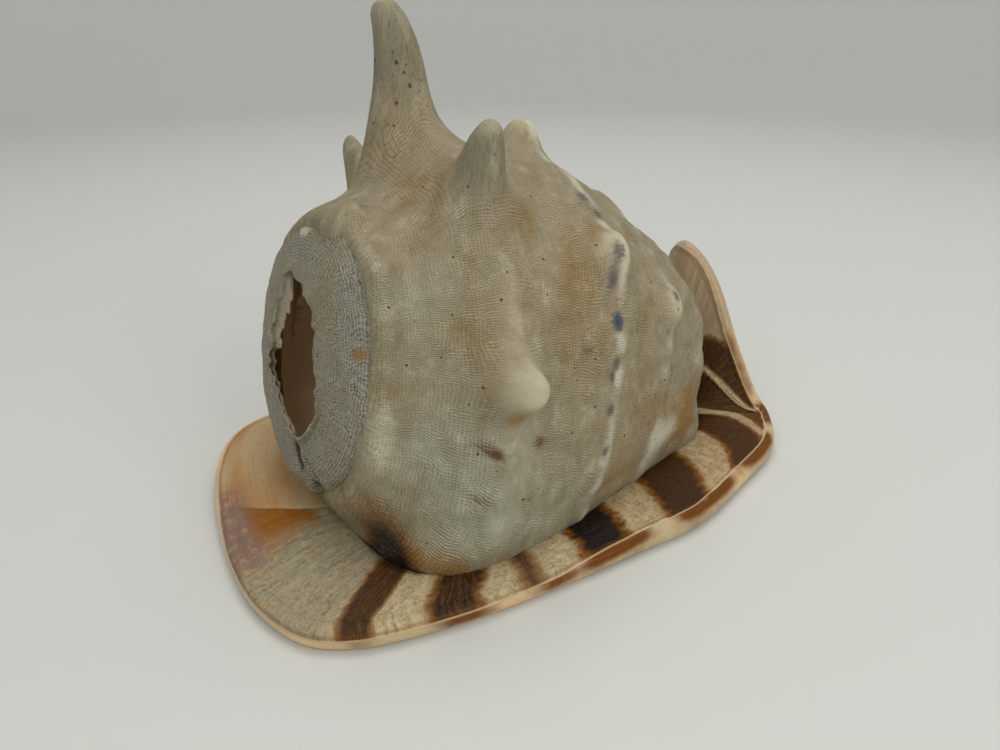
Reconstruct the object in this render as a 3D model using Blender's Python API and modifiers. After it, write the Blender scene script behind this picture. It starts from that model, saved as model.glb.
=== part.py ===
"""Horned helmet shell with a broken spire, lying on its lips as it rests on a table.

+X runs from the spire to the siphonal canal, -Y is the side of the outer lip, +Z is up. The origin is the
middle of the bounding box at the height of the table. The shell grew as one piece and is one hollow solid.
"""

import math

import bmesh
import bpy
import numpy as np

MM = 0.001

# Shape values below are millimetres and degrees, about a drawing origin on the table
BOX_MIDDLE = (-2.45, -1.6)

# The coiling axis points to the canal end and dips towards it. Angle 0 is its upper side, 90 the lip side
AXIS_DIP = 14.0
AXIS_POINT = (0.0, 8.0, 52.0)

# Body whorl: for each spiral row, its place along the axis and its radius at each angle round it
ANGLES = (-180, -130, -90, -50, -15, 15, 50, 80, 105, 128, 180)
BODY_ROWS = (
    (-78.0, (40, 38, 36, 36, 38, 40, 40, 39, 40, 42, 40)),
    (-84.0, (60, 54, 49, 48, 51, 55, 57, 55, 56, 62, 60)),
    (-65.0, (68, 62, 58, 60, 64, 65, 63, 62, 70, 80, 68)),
    (-42.0, (80, 70, 67, 74, 83, 82, 75, 76, 88, 98, 80)),
    (-18.0, (80, 70, 66, 76, 84, 83, 78, 77, 86, 95, 80)),
    (4.0, (76, 68, 64, 74, 85, 85, 81, 78, 83, 90, 76)),
    (24.0, (70, 62, 60, 69, 80, 79, 77, 74, 79, 84, 70)),
    (40.0, (62, 56, 54, 61, 71, 72, 72, 69, 73, 78, 62)),
    (62.0, (48, 46, 45, 50, 60, 63, 65, 62, 65, 68, 48)),
    (78.0, (34, 36, 36, 40, 46, 50, 56, 56, 58, 58, 34)),
    (91.0, (16, 18, 18, 20, 24, 27, 34, 38, 40, 36, 16)),
)

# Horns and knobs: row place, angle, rise outwards, lean to the spire, lean to the lip side, width at half height
HORNS = (
    (-44, 76, 18, 5, 0, 9.0),
    (-44, 22, 25, 4, 0, 8.2),
    (-46, -19, 50, 21, 21, 12.2),
    (-47, -43, 28, 5, 0, 7.0),
    (-44, -78, 13, 3, 0, 9.0),
    (3, -10, 15, 1, 1, 9.0),
    (4, 43, 7, 0, 0, 9.0),
    (4, -55, 9, 0, 0, 9.0),
    (40, 54, 6, 0, 0, 8.0),
    (40, 4, 4, 0, 0, 9.0),
    (-80, 12, 4, 1, 0, 6.0),
    (-80, 42, 5, 1, 0, 7.0),
    (-80, 62, 4, 1, 0, 6.0),
    (-80, 108, 4, 1, 0, 7.0),
)
HORN_FLARE = 3.6

# Last but one whorl, which the broken spire opens: its outside, its inside, and the edge of the hole
INNER_WHORL = ((-92.0, 36.0), (-88.5, 48.0), (-83.0, 55.0), (-74.0, 55.0), (-58.0, 52.0), (-44.0, 43.0),
               (-34.0, 28.0), (-30.0, 8.0))
INNER_HOLLOW = ((-89.0, 33.0), (-86.0, 42.0), (-81.0, 49.5), (-73.0, 50.5), (-60.0, 47.0), (-48.0, 38.0),
                (-39.0, 23.0), (-36.0, 6.0))
HOLE_AT = -94.0
HOLE_RADII = (23, 20, 20, 25, 30, 29, 28, 29, 33, 34, 23)
HOLE_TEETH = 17
HOLE_TOOTH = 1.1
HOLE_EDGE = 1.0
OUTSIDE = 4.0

# Lips and shield round the flat side, station by station: the middle of the rolled rim, the crease where the
# flange meets the body, and the radius of the roll
RIM = (
    ((-124, -39, 4.4), (-84, -28, 11), 4.8),
    ((-116.5, -60.5, 4.4), (-83, -43, 11), 4.8),
    ((-104, -71, 4.4), (-80, -55, 11), 4.8),
    ((-88.5, -76.5, 4.4), (-73, -63, 11), 4.8),
    ((-61, -81.5, 4.4), (-56, -70, 11), 4.8),
    ((-29, -84, 4.4), (-30, -71, 11), 4.8),
    ((8, -85, 4.4), (2, -65, 11), 4.8),
    ((41, -85, 4.4), (34, -57, 11), 4.8),
    ((77, -75, 4.4), (64, -50, 11), 4.8),
    ((107, -64.5, 5), (83, -43, 11), 4.8),
    ((120, -51, 9), (92, -36, 11), 4.6),
    ((118, -42, 20), (96, -28, 11), 4.2),
    ((112, -32, 44), (98, -19, 12), 3.8),
    ((110, -21, 66), (97, -10, 16), 3.5),
    ((107, -13, 79), (95, -4, 20), 3.3),
    ((104, -5, 86), (94, 1, 23), 3.2),
    ((109, 5, 82), (97, 8, 20), 3.3),
    ((117, 17, 67), (99, 17, 14), 3.5),
    ((121, 31, 41), (97, 28, 11), 4.0),
    ((116, 44, 19), (92, 38, 11), 4.4),
    ((104, 56, 7), (83, 44, 11), 4.8),
    ((78, 68, 4.4), (62, 50, 11), 4.8),
    ((38, 77, 4.4), (32, 56, 11), 4.8),
    ((-12, 81, 4.4), (-12, 60, 11), 4.8),
    ((-58, 81, 4.4), (-54, 57, 11), 4.8),
    ((-88, 79, 4.4), (-75, 47, 11), 4.8),
    ((-105, 68, 4.4), (-81, 38, 11), 4.8),
    ((-116, 45, 4.4), (-85, 22, 11), 4.8),
    ((-122, 18, 4.4), (-86, 4, 11), 4.8),
    ((-125, -12, 4.4), (-86, -13, 11), 4.8),
)
FLANGE_THICK = 7.0
FLOOR_TOP = 9.0
FLOOR_UNDER = 1.5
FLOOR_MIDDLE = np.array((0.0, -5.0, 0.0))
FLOOR_SHARE = 0.55
BELOW = -60.0
FAR = 200.0

# The slot of the aperture, between the outer lip and the shield: centre line with half widths
SLOT = ((-78, -34, 5), (-60, -30, 9), (-30, -24, 11), (10, -20, 11), (46, -16, 10), (70, -11, 8), (86, -6, 6))

# The room inside the body whorl, from which row number to which, and the wall round it
HOLLOW_ROWS = (1.6, 9.4)
WALL = 5.5

AROUND = 200
ALONG = 96
WHORL_AROUND = 120
HOLLOW_AROUND = 72
HOLLOW_ALONG = 30
RIM_AROUND = 220
SKIN_CELL = 1.3
MOST_TRIANGLES = 9400


def axes():
    """Unit vectors along the coiling axis, across it to the shield side, and up from it."""
    dip = math.radians(AXIS_DIP)
    along = np.array((math.cos(dip), 0.0, -math.sin(dip)))
    across = np.array((0.0, 1.0, 0.0))
    return along, across, np.cross(along, across)


def curve(knots, values, at):
    """A smooth curve through values at knots, read at each of at."""
    knots = np.asarray(knots, float)
    values = np.asarray(values, float)
    slopes = np.gradient(values, knots, axis=0)
    place = np.clip(np.searchsorted(knots, at, side="right") - 1, 0, len(knots) - 2)
    gap = knots[place + 1] - knots[place]
    t = (at - knots[place]) / gap
    shape = (-1,) + (1,) * (values.ndim - 1)
    t, gap = t.reshape(shape), gap.reshape(shape)
    return (
        values[place] * (1 + 2 * t) * (1 - t) ** 2
        + values[place + 1] * t * t * (3 - 2 * t)
        + slopes[place] * gap * t * (1 - t) ** 2
        - slopes[place + 1] * gap * t * t * (1 - t)
    )


def round_curve(knots, values, at, period):
    """The same for a closed curve whose first knot follows its last one after the period."""
    knots = np.asarray(knots, float)
    values = np.asarray(values, float)
    knots = np.concatenate([knots - period, knots, knots + period])
    values = np.concatenate([values, values, values])
    return curve(knots, values, at)


def around_radii(radii, angles):
    return round_curve(ANGLES[:-1], radii[:-1], angles, 360.0)


def on_axis(places, radii, angles):
    """Points at places along the axis, radii from it and angles round it."""
    along, across, up = axes()
    turn = np.radians(angles)[..., None]
    out = np.cos(turn) * up - np.sin(turn) * across
    return np.asarray(AXIS_POINT) + places[..., None] * along + radii[..., None] * out


def ring_angles(count):
    return np.arange(count) * 360.0 / count - 180.0


def body_grid(rows_at, angles):
    """Places and radii of the body whorl, for each row number and angle."""
    rows = np.array([around_radii(radii, angles) for _, radii in BODY_ROWS])
    places = np.repeat(np.array([place for place, _ in BODY_ROWS])[:, None], len(angles), axis=1)
    numbers = np.arange(len(BODY_ROWS), dtype=float)
    both = curve(numbers, np.stack([places, rows], axis=-1), rows_at)
    return both[..., 0], both[..., 1]


def horned(points):
    """Draws the horns and knobs out of the points of the plain body whorl."""
    along, across, up = axes()
    moved = points.copy()
    numbers = np.arange(len(BODY_ROWS), dtype=float)
    row_places = np.array([place for place, _ in BODY_ROWS])
    for place, angle, rise, back, side, width in HORNS:
        number = np.interp(place, row_places[1:], numbers[1:])
        at, radius = body_grid(np.array([number]), np.array([float(angle)]))
        foot = on_axis(at, radius, np.array([[float(angle)]]))[0, 0]
        turn = math.radians(angle)
        out = math.cos(turn) * up - math.sin(turn) * across
        round_it = -math.sin(turn) * up - math.cos(turn) * across
        reach = np.linalg.norm(points - foot, axis=-1)
        share = 1.0 / (1.0 + (reach / width) ** HORN_FLARE)
        moved += share[..., None] * (rise * out - back * along + side * round_it)
    return moved


def mesh_object(name, collection, points, faces):
    mesh = bpy.data.meshes.new(name)
    mesh.from_pydata([tuple(p) for p in points * MM], [], faces)
    solid = bpy.data.objects.new(name, mesh)
    collection.objects.link(solid)
    closed = bmesh.new()
    closed.from_mesh(mesh)
    bmesh.ops.recalc_face_normals(closed, faces=closed.faces)
    closed.to_mesh(mesh)
    closed.free()
    return solid


def loft(name, collection, rings):
    """A closed solid through rings of as many points each, with a fan at either end."""
    count = rings.shape[1]
    points = np.concatenate([rings.reshape(-1, 3), [rings[0].mean(axis=0)], [rings[-1].mean(axis=0)]])
    first, last = len(points) - 2, len(points) - 1
    top = (len(rings) - 1) * count
    faces = []
    for ring in range(len(rings) - 1):
        for i in range(count):
            j = (i + 1) % count
            faces.append((ring * count + i, ring * count + j, (ring + 1) * count + j, (ring + 1) * count + i))
    for i in range(count):
        j = (i + 1) % count
        faces.append((first, j, i))
        faces.append((last, top + i, top + j))
    return mesh_object(name, collection, points, faces)


def block_below(name, collection, height):
    """A cutter that takes away what is lower than a height."""
    low, high = np.array((-FAR, -FAR, BELOW)) * MM, np.array((FAR, FAR, height)) * MM
    solid = bmesh.new()
    bmesh.ops.create_cube(solid, size=1.0)
    bmesh.ops.scale(solid, vec=high - low, verts=solid.verts)
    bmesh.ops.translate(solid, vec=(low + high) / 2, verts=solid.verts)
    mesh = bpy.data.meshes.new(name)
    solid.to_mesh(mesh)
    solid.free()
    made = bpy.data.objects.new(name, mesh)
    collection.objects.link(made)
    return made


def body(collection):
    angles = ring_angles(AROUND)
    places, radii = body_grid(np.linspace(0, len(BODY_ROWS) - 1, ALONG), angles)
    return loft("body", collection, horned(on_axis(places, radii, angles)))


def body_hollow(collection):
    """The room inside the body whorl, a wall thickness inside it."""
    angles = ring_angles(HOLLOW_AROUND)
    places, radii = body_grid(np.linspace(*HOLLOW_ROWS, HOLLOW_ALONG), angles)
    return loft("body_hollow", collection, on_axis(places, radii - WALL, angles))


def hole_radii(angles):
    teeth = np.abs(np.sin(np.radians(angles * HOLE_TEETH / 2))) + 0.5 * np.sin(np.radians(angles * 5))
    return around_radii(HOLE_RADII, angles) + HOLE_TOOTH * teeth


def opened_whorl(name, collection, mouth_places, mouth_radii, profile):
    """A closed loft along the axis: ragged rings at the mouth, then round ones through a profile."""
    angles = ring_angles(WHORL_AROUND)
    rings = [on_axis(np.full(len(angles), place), mouth_radii, angles) for place in mouth_places]
    for place, radius in profile:
        rings.append(on_axis(np.full(len(angles), place), np.full(len(angles), radius), angles))
    return loft(name, collection, np.array(rings))


def inner_whorl(collection):
    radii = hole_radii(ring_angles(WHORL_AROUND)) + HOLE_EDGE
    return opened_whorl("inner_whorl", collection, (HOLE_AT,), radii, INNER_WHORL)


def inner_hollow(collection):
    """The room behind the hole. Its first ring stands outside the shell, so that it opens the spire."""
    places = (HOLE_AT - OUTSIDE, HOLE_AT + HOLE_EDGE)
    radii = hole_radii(ring_angles(WHORL_AROUND))
    return opened_whorl("inner_hollow", collection, places, radii, INNER_HOLLOW)


def lips(collection):
    """Rolled rim, flange, shield and the fin of the canal, as one closed disc."""
    stations = np.array([(*rim, *crease, radius) for rim, crease, radius in RIM])
    knots = np.arange(len(stations), dtype=float)
    at = np.arange(RIM_AROUND) * len(stations) / RIM_AROUND
    stations = round_curve(knots, stations, at, float(len(stations)))
    rim, crease, roll = stations[:, :3], stations[:, 3:6], stations[:, 6:]
    tangent = np.roll(rim, -1, axis=0) - np.roll(rim, 1, axis=0)
    tangent /= np.linalg.norm(tangent, axis=1)[:, None]
    out = rim - crease
    out -= (out * tangent).sum(axis=1)[:, None] * tangent
    out /= np.linalg.norm(out, axis=1)[:, None]
    top = np.cross(out, tangent)
    floor = FLOOR_MIDDLE + FLOOR_SHARE * (crease - FLOOR_MIDDLE)
    rings = []
    floor_top = floor.copy()
    floor_top[:, 2] = FLOOR_TOP + 2
    rings += [floor_top, crease]
    half = (crease + rim) / 2
    rings.append(half + top * roll * 0.75)
    for turn in np.radians(np.linspace(125, -125, 9)):
        rings.append(rim + roll * (math.cos(turn) * out + math.sin(turn) * top))
    rings.append(half - top * roll * 0.55)
    under = crease - top * FLANGE_THICK
    under[:, 2] = np.maximum(under[:, 2] * 0.4, FLOOR_UNDER)
    floor_under = floor.copy()
    floor_under[:, 2] = FLOOR_UNDER
    rings += [under, floor_under]
    return loft("lips", collection, np.array(rings))


def slot(collection):
    """The aperture, cut up through the floor between the lips."""
    stations = np.array(SLOT, float)
    rings = []
    for x, y, half in curve(np.arange(len(stations), dtype=float), stations, np.linspace(0, len(stations) - 1, 30)):
        rings.append([(x, y - half, -6), (x, y + half, -6), (x, y + half, 14), (x, y - half, 14)])
    return loft("slot", collection, np.array(rings))


def boolean(solid, operation, other):
    modifier = solid.modifiers.new(other.name, "BOOLEAN")
    modifier.operation = operation
    modifier.solver = "MANIFOLD"
    modifier.object = other


def hide(solid):
    solid.hide_render = True
    solid.display_type = "WIRE"


def remesh(solid):
    """One even skin over the joined shapes."""
    modifier = solid.modifiers.new("even skin", "REMESH")
    modifier.mode = "VOXEL"
    modifier.voxel_size = SKIN_CELL * MM


def decimate(solid):
    """Fewer triangles, kept where the surface bends most."""
    graph = bpy.context.evaluated_depsgraph_get()
    full = solid.evaluated_get(graph).to_mesh()
    full.calc_loop_triangles()
    modifier = solid.modifiers.new("fewer triangles", "DECIMATE")
    modifier.ratio = MOST_TRIANGLES / len(full.loop_triangles)


def shell_material():
    """Off-white shell with a dull, porous surface."""
    material = bpy.data.materials.new("shell_cream")
    material.use_nodes = True
    surface = material.node_tree.nodes["Principled BSDF"]
    surface.inputs["Base Color"].default_value = (0.62, 0.54, 0.42, 1.0)
    surface.inputs["Roughness"].default_value = 0.6
    surface.inputs["Metallic"].default_value = 0.0
    return material


def main():
    for old in list(bpy.data.objects):
        bpy.data.objects.remove(old, do_unlink=True)
    scene = bpy.context.scene
    parts = bpy.data.collections.new("horned_helmet_shell")
    cutters = bpy.data.collections.new("cutters")
    scene.collection.children.link(parts)
    scene.collection.children.link(cutters)

    outside = body(parts)
    outside.name = "shell"
    room = body_hollow(cutters)
    whorl = inner_whorl(cutters)
    whorl_room = inner_hollow(cutters)
    rim = lips(cutters)
    aperture = slot(cutters)
    below_floor = block_below("below_floor", cutters, FLOOR_TOP)
    below_table = block_below("below_table", cutters, 0.0)
    under_body = block_below("under_body", cutters, FLOOR_TOP / 2)

    boolean(room, "DIFFERENCE", below_floor)
    boolean(room, "DIFFERENCE", whorl)
    boolean(outside, "DIFFERENCE", under_body)
    boolean(outside, "UNION", whorl)
    boolean(outside, "UNION", rim)
    boolean(outside, "DIFFERENCE", room)
    boolean(outside, "DIFFERENCE", whorl_room)
    boolean(outside, "DIFFERENCE", aperture)
    remesh(outside)
    decimate(outside)
    boolean(outside, "DIFFERENCE", below_table)
    for helper in (room, whorl, whorl_room, rim, aperture, below_floor, below_table, under_body):
        hide(helper)

    outside.location = (-BOX_MIDDLE[0] * MM, -BOX_MIDDLE[1] * MM, 0)
    for helper in cutters.objects:
        helper.location = outside.location
    outside.data.materials.append(shell_material())
    outside.data.shade_smooth()


main()
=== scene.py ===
"""Looks of the horned helmet shell: fine surfaces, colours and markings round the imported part.

Lengths are millimetres and angles degrees in the drawing frame of the solids, and metres once a mesh is made.
"""

import math

import bpy
import numpy as np
from mathutils import Matrix, Vector, kdtree


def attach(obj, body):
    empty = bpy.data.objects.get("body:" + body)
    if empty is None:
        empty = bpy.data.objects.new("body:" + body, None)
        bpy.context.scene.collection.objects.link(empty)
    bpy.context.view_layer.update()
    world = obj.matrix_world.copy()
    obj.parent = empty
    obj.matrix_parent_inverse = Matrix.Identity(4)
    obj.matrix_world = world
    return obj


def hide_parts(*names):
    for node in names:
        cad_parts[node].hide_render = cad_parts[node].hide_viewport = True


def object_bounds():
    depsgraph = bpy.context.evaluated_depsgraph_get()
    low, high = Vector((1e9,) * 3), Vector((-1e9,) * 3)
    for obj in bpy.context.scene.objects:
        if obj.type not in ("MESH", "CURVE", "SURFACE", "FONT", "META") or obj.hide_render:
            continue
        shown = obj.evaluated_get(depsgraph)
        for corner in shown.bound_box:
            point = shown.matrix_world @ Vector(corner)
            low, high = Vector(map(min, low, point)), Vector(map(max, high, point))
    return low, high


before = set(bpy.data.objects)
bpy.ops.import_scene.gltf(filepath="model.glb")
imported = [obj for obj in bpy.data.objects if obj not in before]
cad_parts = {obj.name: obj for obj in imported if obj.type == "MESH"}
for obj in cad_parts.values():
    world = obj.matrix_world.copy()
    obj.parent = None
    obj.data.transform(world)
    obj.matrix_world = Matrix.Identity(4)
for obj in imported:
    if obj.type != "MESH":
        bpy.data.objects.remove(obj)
CAD_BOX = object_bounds()

MM = 0.001
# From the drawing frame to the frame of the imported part
SHIFT = np.array((2.45, 1.6, 0.0))

# The coiling axis points to the canal end and dips towards it. Angle 0 is its upper side, 90 the lip side
AXIS_DIP = 14.0
AXIS_POINT = (0.0, 8.0, 52.0)

# Body whorl: for each spiral row, its place along the axis and its radius at each angle round it
ANGLES = (-180, -130, -90, -50, -15, 15, 50, 80, 105, 128, 180)
BODY_ROWS = (
    (-78.0, (40, 38, 36, 36, 38, 40, 40, 39, 40, 42, 40)),
    (-84.0, (60, 54, 49, 48, 51, 55, 57, 55, 56, 62, 60)),
    (-65.0, (68, 62, 58, 60, 64, 65, 63, 62, 70, 80, 68)),
    (-42.0, (80, 70, 67, 74, 83, 82, 75, 76, 88, 98, 80)),
    (-18.0, (80, 70, 66, 76, 84, 83, 78, 77, 86, 95, 80)),
    (4.0, (76, 68, 64, 74, 85, 85, 81, 78, 83, 90, 76)),
    (24.0, (70, 62, 60, 69, 80, 79, 77, 74, 79, 84, 70)),
    (40.0, (62, 56, 54, 61, 71, 72, 72, 69, 73, 78, 62)),
    (62.0, (48, 46, 45, 50, 60, 63, 65, 62, 65, 68, 48)),
    (78.0, (34, 36, 36, 40, 46, 50, 56, 56, 58, 58, 34)),
    (91.0, (16, 18, 18, 20, 24, 27, 34, 38, 40, 36, 16)),
)
BODY_FROM, BODY_TO = 0.4, 10.0
BODY_EDGE = 6.0
FOOT_SMOOTH, FOOT_REACH, FOOT_HEIGHTS = 21, 10.0, (10.0, 34.0)
BODY_ALONG = 250
BODY_AROUND = 376
CAP_DEPTH = 4.0
# Radii by which angles become millimetres round the body, the spire and the room
BODY_SIZE, SPIRE_SIZE, ROOM_SIZE = 75.0, 50.0, 60.0

# Horns and knobs: row place, angle, rise outwards, lean to the spire, lean to the lip side, and half width at
# half height
HORNS = (
    (-44, 76, 18, -1, 1, 9.0),
    (-44, 22, 25, 4, 0, 8.2),
    (-46, -19, 50, 21, 21, 12.2),
    (-47, -43, 28, 5, 0, 7.0),
    (-44, -78, 13, 3, 0, 9.0),
    (3, -10, 15, 1, 1, 9.0),
    (4, 43, 7, 0, 0, 9.0),
    (4, -55, 9, 0, 0, 9.0),
    (40, 54, 6, 0, 0, 8.0),
    (40, 4, 4, 0, 0, 9.0),
    (-80, 12, 4, 1, 0, 6.0),
    (-80, 42, 5, 1, 0, 7.0),
    (-80, 62, 4, 1, 0, 6.0),
    (-80, 108, 4, 1, 0, 7.0),
)
HORN_FLARE = 3.6
LONGEST = 2
# How far the longest horn bows back, and the share of its height where the bow begins
HORN_BOW, BOW_FROM = 44.0, 0.3
LONG_HORNS = (1, 2, 3)
PALE_KNOBS = (0, 5, 6, 8)

# The body whorl reaches further over the whorl before it at the top than at the sides
SUTURE_STEP = 4.5

# Last but one whorl, which the broken spire opens: its outside, its inside, and the edge of the hole
INNER_WHORL = ((-92.0, 36.0), (-88.5, 48.0), (-83.0, 55.0), (-74.0, 55.0), (-58.0, 52.0), (-44.0, 43.0),
               (-34.0, 28.0), (-30.0, 8.0))
INNER_HOLLOW = ((-89.0, 33.0), (-86.0, 42.0), (-81.0, 49.5), (-73.0, 50.5), (-60.0, 47.0), (-48.0, 38.0),
                (-39.0, 23.0), (-36.0, 6.0))
HOLE_AT = -94.0
HOLE_RADII = (23, 20, 20, 25, 30, 29, 28, 29, 33, 34, 23)
HOLE_TEETH = 15
HOLE_TOOTH = 1.2
HOLE_EDGE = 1.0

# A strip of an older wall that stands just inside the hole: angles where it begins and ends, and its width.
# Its rings are given by distance behind the edge, share of its width, share of the flare beside it, share of
# the outside's colour, and depth
CURTAIN_FROM, CURTAIN_TO, CURTAIN_WIDTH = -16.0, -112.0, 9.0
CURTAIN_RINGS = (
    (1.4, 0.1, 0.5, 0.6, 1.5),
    (2.2, 0.12, 0.8, 0.5, 2.5),
    (2.8, 0.9, 1.0, 0.5, 2.5),
    (3.1, 1.0, 1.0, 0.45, 3.0),
    (3.6, 0.9, 1.0, 0.3, 4.0),
    (4.0, 0.2, 1.0, 0.1, 6.0),
)
HOLE_FLARE = 5.0

# Hollows in the wall below the hole: place, angle, half length, half width, depth
POCKETS = ((-85.0, 152.0, 3.0, 3.2, 5.0), (-88.5, 146.0, 2.6, 2.0, 3.0), (-81.0, 145.0, 3.0, 2.2, 3.0),
           (-91.0, 157.0, 2.0, 3.0, 2.0))
WHORL_AROUND = 620
# A point inside the whorl on the axis, and the radius of the circle on which its ragged edges vary
WHORL_MIDDLE = -60.0
HOLE_TURN = 30.0

# Beads in half a turn of the net. Ochre spot and pale chip: place, angle, half width round the whorl, and
# half length
HALF_TURN_BEADS = 118.0
OCHRE_SPOT = (-87.1, 69.0, 2.6, 2.2)
CHIP = (-88.6, -12.0, 7.0, 1.5)

# Lips and shield, station by station: middle of the rolled rim, crease at the body, and radius of the roll
RIM = (
    ((-124, -39, 4.4), (-84, -28, 11), 4.8),
    ((-116.5, -60.5, 4.4), (-83, -43, 11), 4.8),
    ((-104, -71, 4.4), (-80, -55, 11), 4.8),
    ((-88.5, -76.5, 4.4), (-73, -63, 11), 4.8),
    ((-61, -81.5, 4.4), (-56, -70, 11), 4.8),
    ((-29, -84, 4.4), (-30, -71, 11), 4.8),
    ((8, -85, 4.4), (2, -65, 11), 4.8),
    ((41, -85, 4.4), (34, -57, 11), 4.8),
    ((77, -75, 4.4), (64, -50, 11), 4.8),
    ((107, -64.5, 5), (83, -43, 11), 4.8),
    ((120, -51, 9), (92, -36, 11), 4.6),
    ((118, -42, 20), (96, -28, 11), 4.2),
    ((112, -32, 44), (98, -19, 12), 3.8),
    ((110, -21, 66), (97, -10, 16), 3.5),
    ((107, -13, 79), (95, -4, 20), 3.3),
    ((104, -5, 86), (94, 1, 23), 3.2),
    ((109, 5, 82), (97, 8, 20), 3.3),
    ((117, 17, 67), (99, 17, 14), 3.5),
    ((121, 31, 41), (97, 28, 11), 4.0),
    ((116, 44, 19), (92, 38, 11), 4.4),
    ((104, 56, 7), (83, 44, 11), 4.8),
    ((78, 68, 4.4), (62, 50, 11), 4.8),
    ((38, 77, 4.4), (32, 56, 11), 4.8),
    ((-12, 81, 4.4), (-12, 60, 11), 4.8),
    ((-58, 81, 4.4), (-54, 57, 11), 4.8),
    ((-88, 79, 4.4), (-75, 47, 11), 4.8),
    ((-105, 68, 4.4), (-81, 38, 11), 4.8),
    ((-116, 45, 4.4), (-85, 22, 11), 4.8),
    ((-122, 18, 4.4), (-86, 4, 11), 4.8),
    ((-125, -12, 4.4), (-86, -13, 11), 4.8),
)
RIM_AROUND = 760
STRIP_RINGS, ROLL_RINGS, UNDER_RINGS, WALL_RINGS = 34, 34, 38, 12
ROLL_TURN = 125.0
FLOOR_TOP = 9.0
FLOOR_UNDER = 1.5
LOWEST = 0.05
SKIN_SPECULAR = 0.22

# The slot of the aperture: centre line with half widths, and the middle and half size of the ring round it
SLOT = ((-78, -34, 5), (-60, -30, 9), (-30, -24, 11), (10, -20, 11), (46, -16, 10), (70, -11, 8), (86, -6, 6))
SLOT_MIDDLE, SLOT_HALF = 4.0, 82.0
FLAT_MIDDLE, FLAT_HALF = (6.0, -5.0), (92.0, 55.0)

# Teeth of the outer lip and folds of the shield along the slot: from, to, spacing, height, reach
LIP_TEETH = (-56.0, 66.0, 10.0, 2.4, 15.0)
SHIELD_FOLDS = (-62.0, 74.0, 7.4, 1.3, 24.0)

# The room inside the body whorl
ROOM_ROWS = (1.6, 9.4)
WALL = 5.5

# Colours, as 8-bit sRGB
GREIGE = (158, 146, 119)
GREIGE_DARK = (124, 108, 70)
GREIGE_COOL = (161, 160, 140)
HORN_GREY = (143, 135, 114)
LINE_DARK = (92, 80, 54)
OCHRE = (150, 108, 42)
RUST = (92, 48, 14)
WHITE = (212, 205, 183)
HORN_PALE = (218, 208, 176)
BROWN = (14, 4, 2)
BROWN_GRAIN = (62, 42, 28)
BROWN_ORANGE = (124, 74, 6)
PURPLE = (84, 72, 78)
BLUE = (46, 76, 92)
SPIRE_GREY = (156, 153, 138)
SPIRE_DARK = (66, 64, 56)
SPIRE_PALE = (188, 180, 158)
CREAM = (206, 186, 146)
BEIGE = (178, 156, 116)
FLANGE_GREY = (158, 148, 122)
FIN_BEIGE = (188, 164, 132)
PLATE_TAN = (186, 142, 90)
PLATE_CREAM = (196, 166, 124)
PLATE_BROWN = (120, 66, 8)
MAUVE = (140, 104, 92)
PEACH = (232, 198, 150)
PLATE_ORANGE = (150, 90, 4)
RIM_ORANGE = (114, 64, 0)
# Near-black brown: the specks and pits, and painted shade along the crease between body and lips and in the
# hollows below the hole
SHADE_AND_PIT_DARK = (30, 22, 14)
INSIDE_DARK = (60, 18, 2)
INSIDE_PALE = (244, 216, 180)

TABLE_PALE = (219, 220, 215)
# Table colour where painted shade darkens it: far out, up the backdrop and towards -X
TABLE_SHADE = (200, 201, 197)
TABLE_FLAT, TABLE_SWEEP, TABLE_WALL = 1150.0, 420.0, 1500.0

# Camera of the photograph: place in the drawing frame, degrees to the right of +Y, degrees down, and lens
CAMERA_AT = (-160.89, -257.479, 201.577)
CAMERA_YAW = 32.0
CAMERA_DOWN = 27.486
CAMERA_LENS = 27.36


def axes():
    """Unit vectors along the coiling axis, across it to the shield side, and up from it."""
    dip = math.radians(AXIS_DIP)
    along = np.array((math.cos(dip), 0.0, -math.sin(dip)))
    across = np.array((0.0, 1.0, 0.0))
    return along, across, np.cross(along, across)


def curve(knots, values, at):
    """A smooth curve through values at knots, read at each of at."""
    knots = np.asarray(knots, float)
    values = np.asarray(values, float)
    slopes = np.gradient(values, knots, axis=0)
    place = np.clip(np.searchsorted(knots, at, side="right") - 1, 0, len(knots) - 2)
    gap = knots[place + 1] - knots[place]
    t = (at - knots[place]) / gap
    shape = (-1,) + (1,) * (values.ndim - 1)
    t, gap = t.reshape(shape), gap.reshape(shape)
    return (
        values[place] * (1 + 2 * t) * (1 - t) ** 2
        + values[place + 1] * t * t * (3 - 2 * t)
        + slopes[place] * gap * t * (1 - t) ** 2
        - slopes[place + 1] * gap * t * t * (1 - t)
    )


def round_curve(knots, values, at, period):
    """The same for a closed curve whose first knot follows its last one after the period."""
    knots = np.asarray(knots, float)
    values = np.asarray(values, float)
    knots = np.concatenate([knots - period, knots, knots + period])
    values = np.concatenate([values, values, values])
    return curve(knots, values, at)


def around_radii(radii, angles):
    """Radii at any angles, from those at the named angles."""
    return round_curve(ANGLES[:-1], radii[:-1], angles.ravel(), 360.0).reshape(angles.shape)


def on_axis(places, radii, angles):
    """Points at places along the axis, radii from it and angles round it."""
    along, across, up = axes()
    turn = np.radians(angles)[..., None]
    out = np.cos(turn) * up - np.sin(turn) * across
    return np.asarray(AXIS_POINT) + places[..., None] * along + radii[..., None] * out


def body_grid(rows_at, angles):
    """Places and radii of the body whorl, for each row number and its own angles."""
    numbers = np.arange(len(BODY_ROWS), dtype=float)
    weights = curve(numbers, np.eye(len(BODY_ROWS)), rows_at)
    places = weights @ np.array([place for place, _ in BODY_ROWS])
    radii = sum(weights[:, k, None] * around_radii(row, angles) for k, (_, row) in enumerate(BODY_ROWS))
    return np.repeat(places[:, None], angles.shape[1], axis=1), radii


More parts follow.
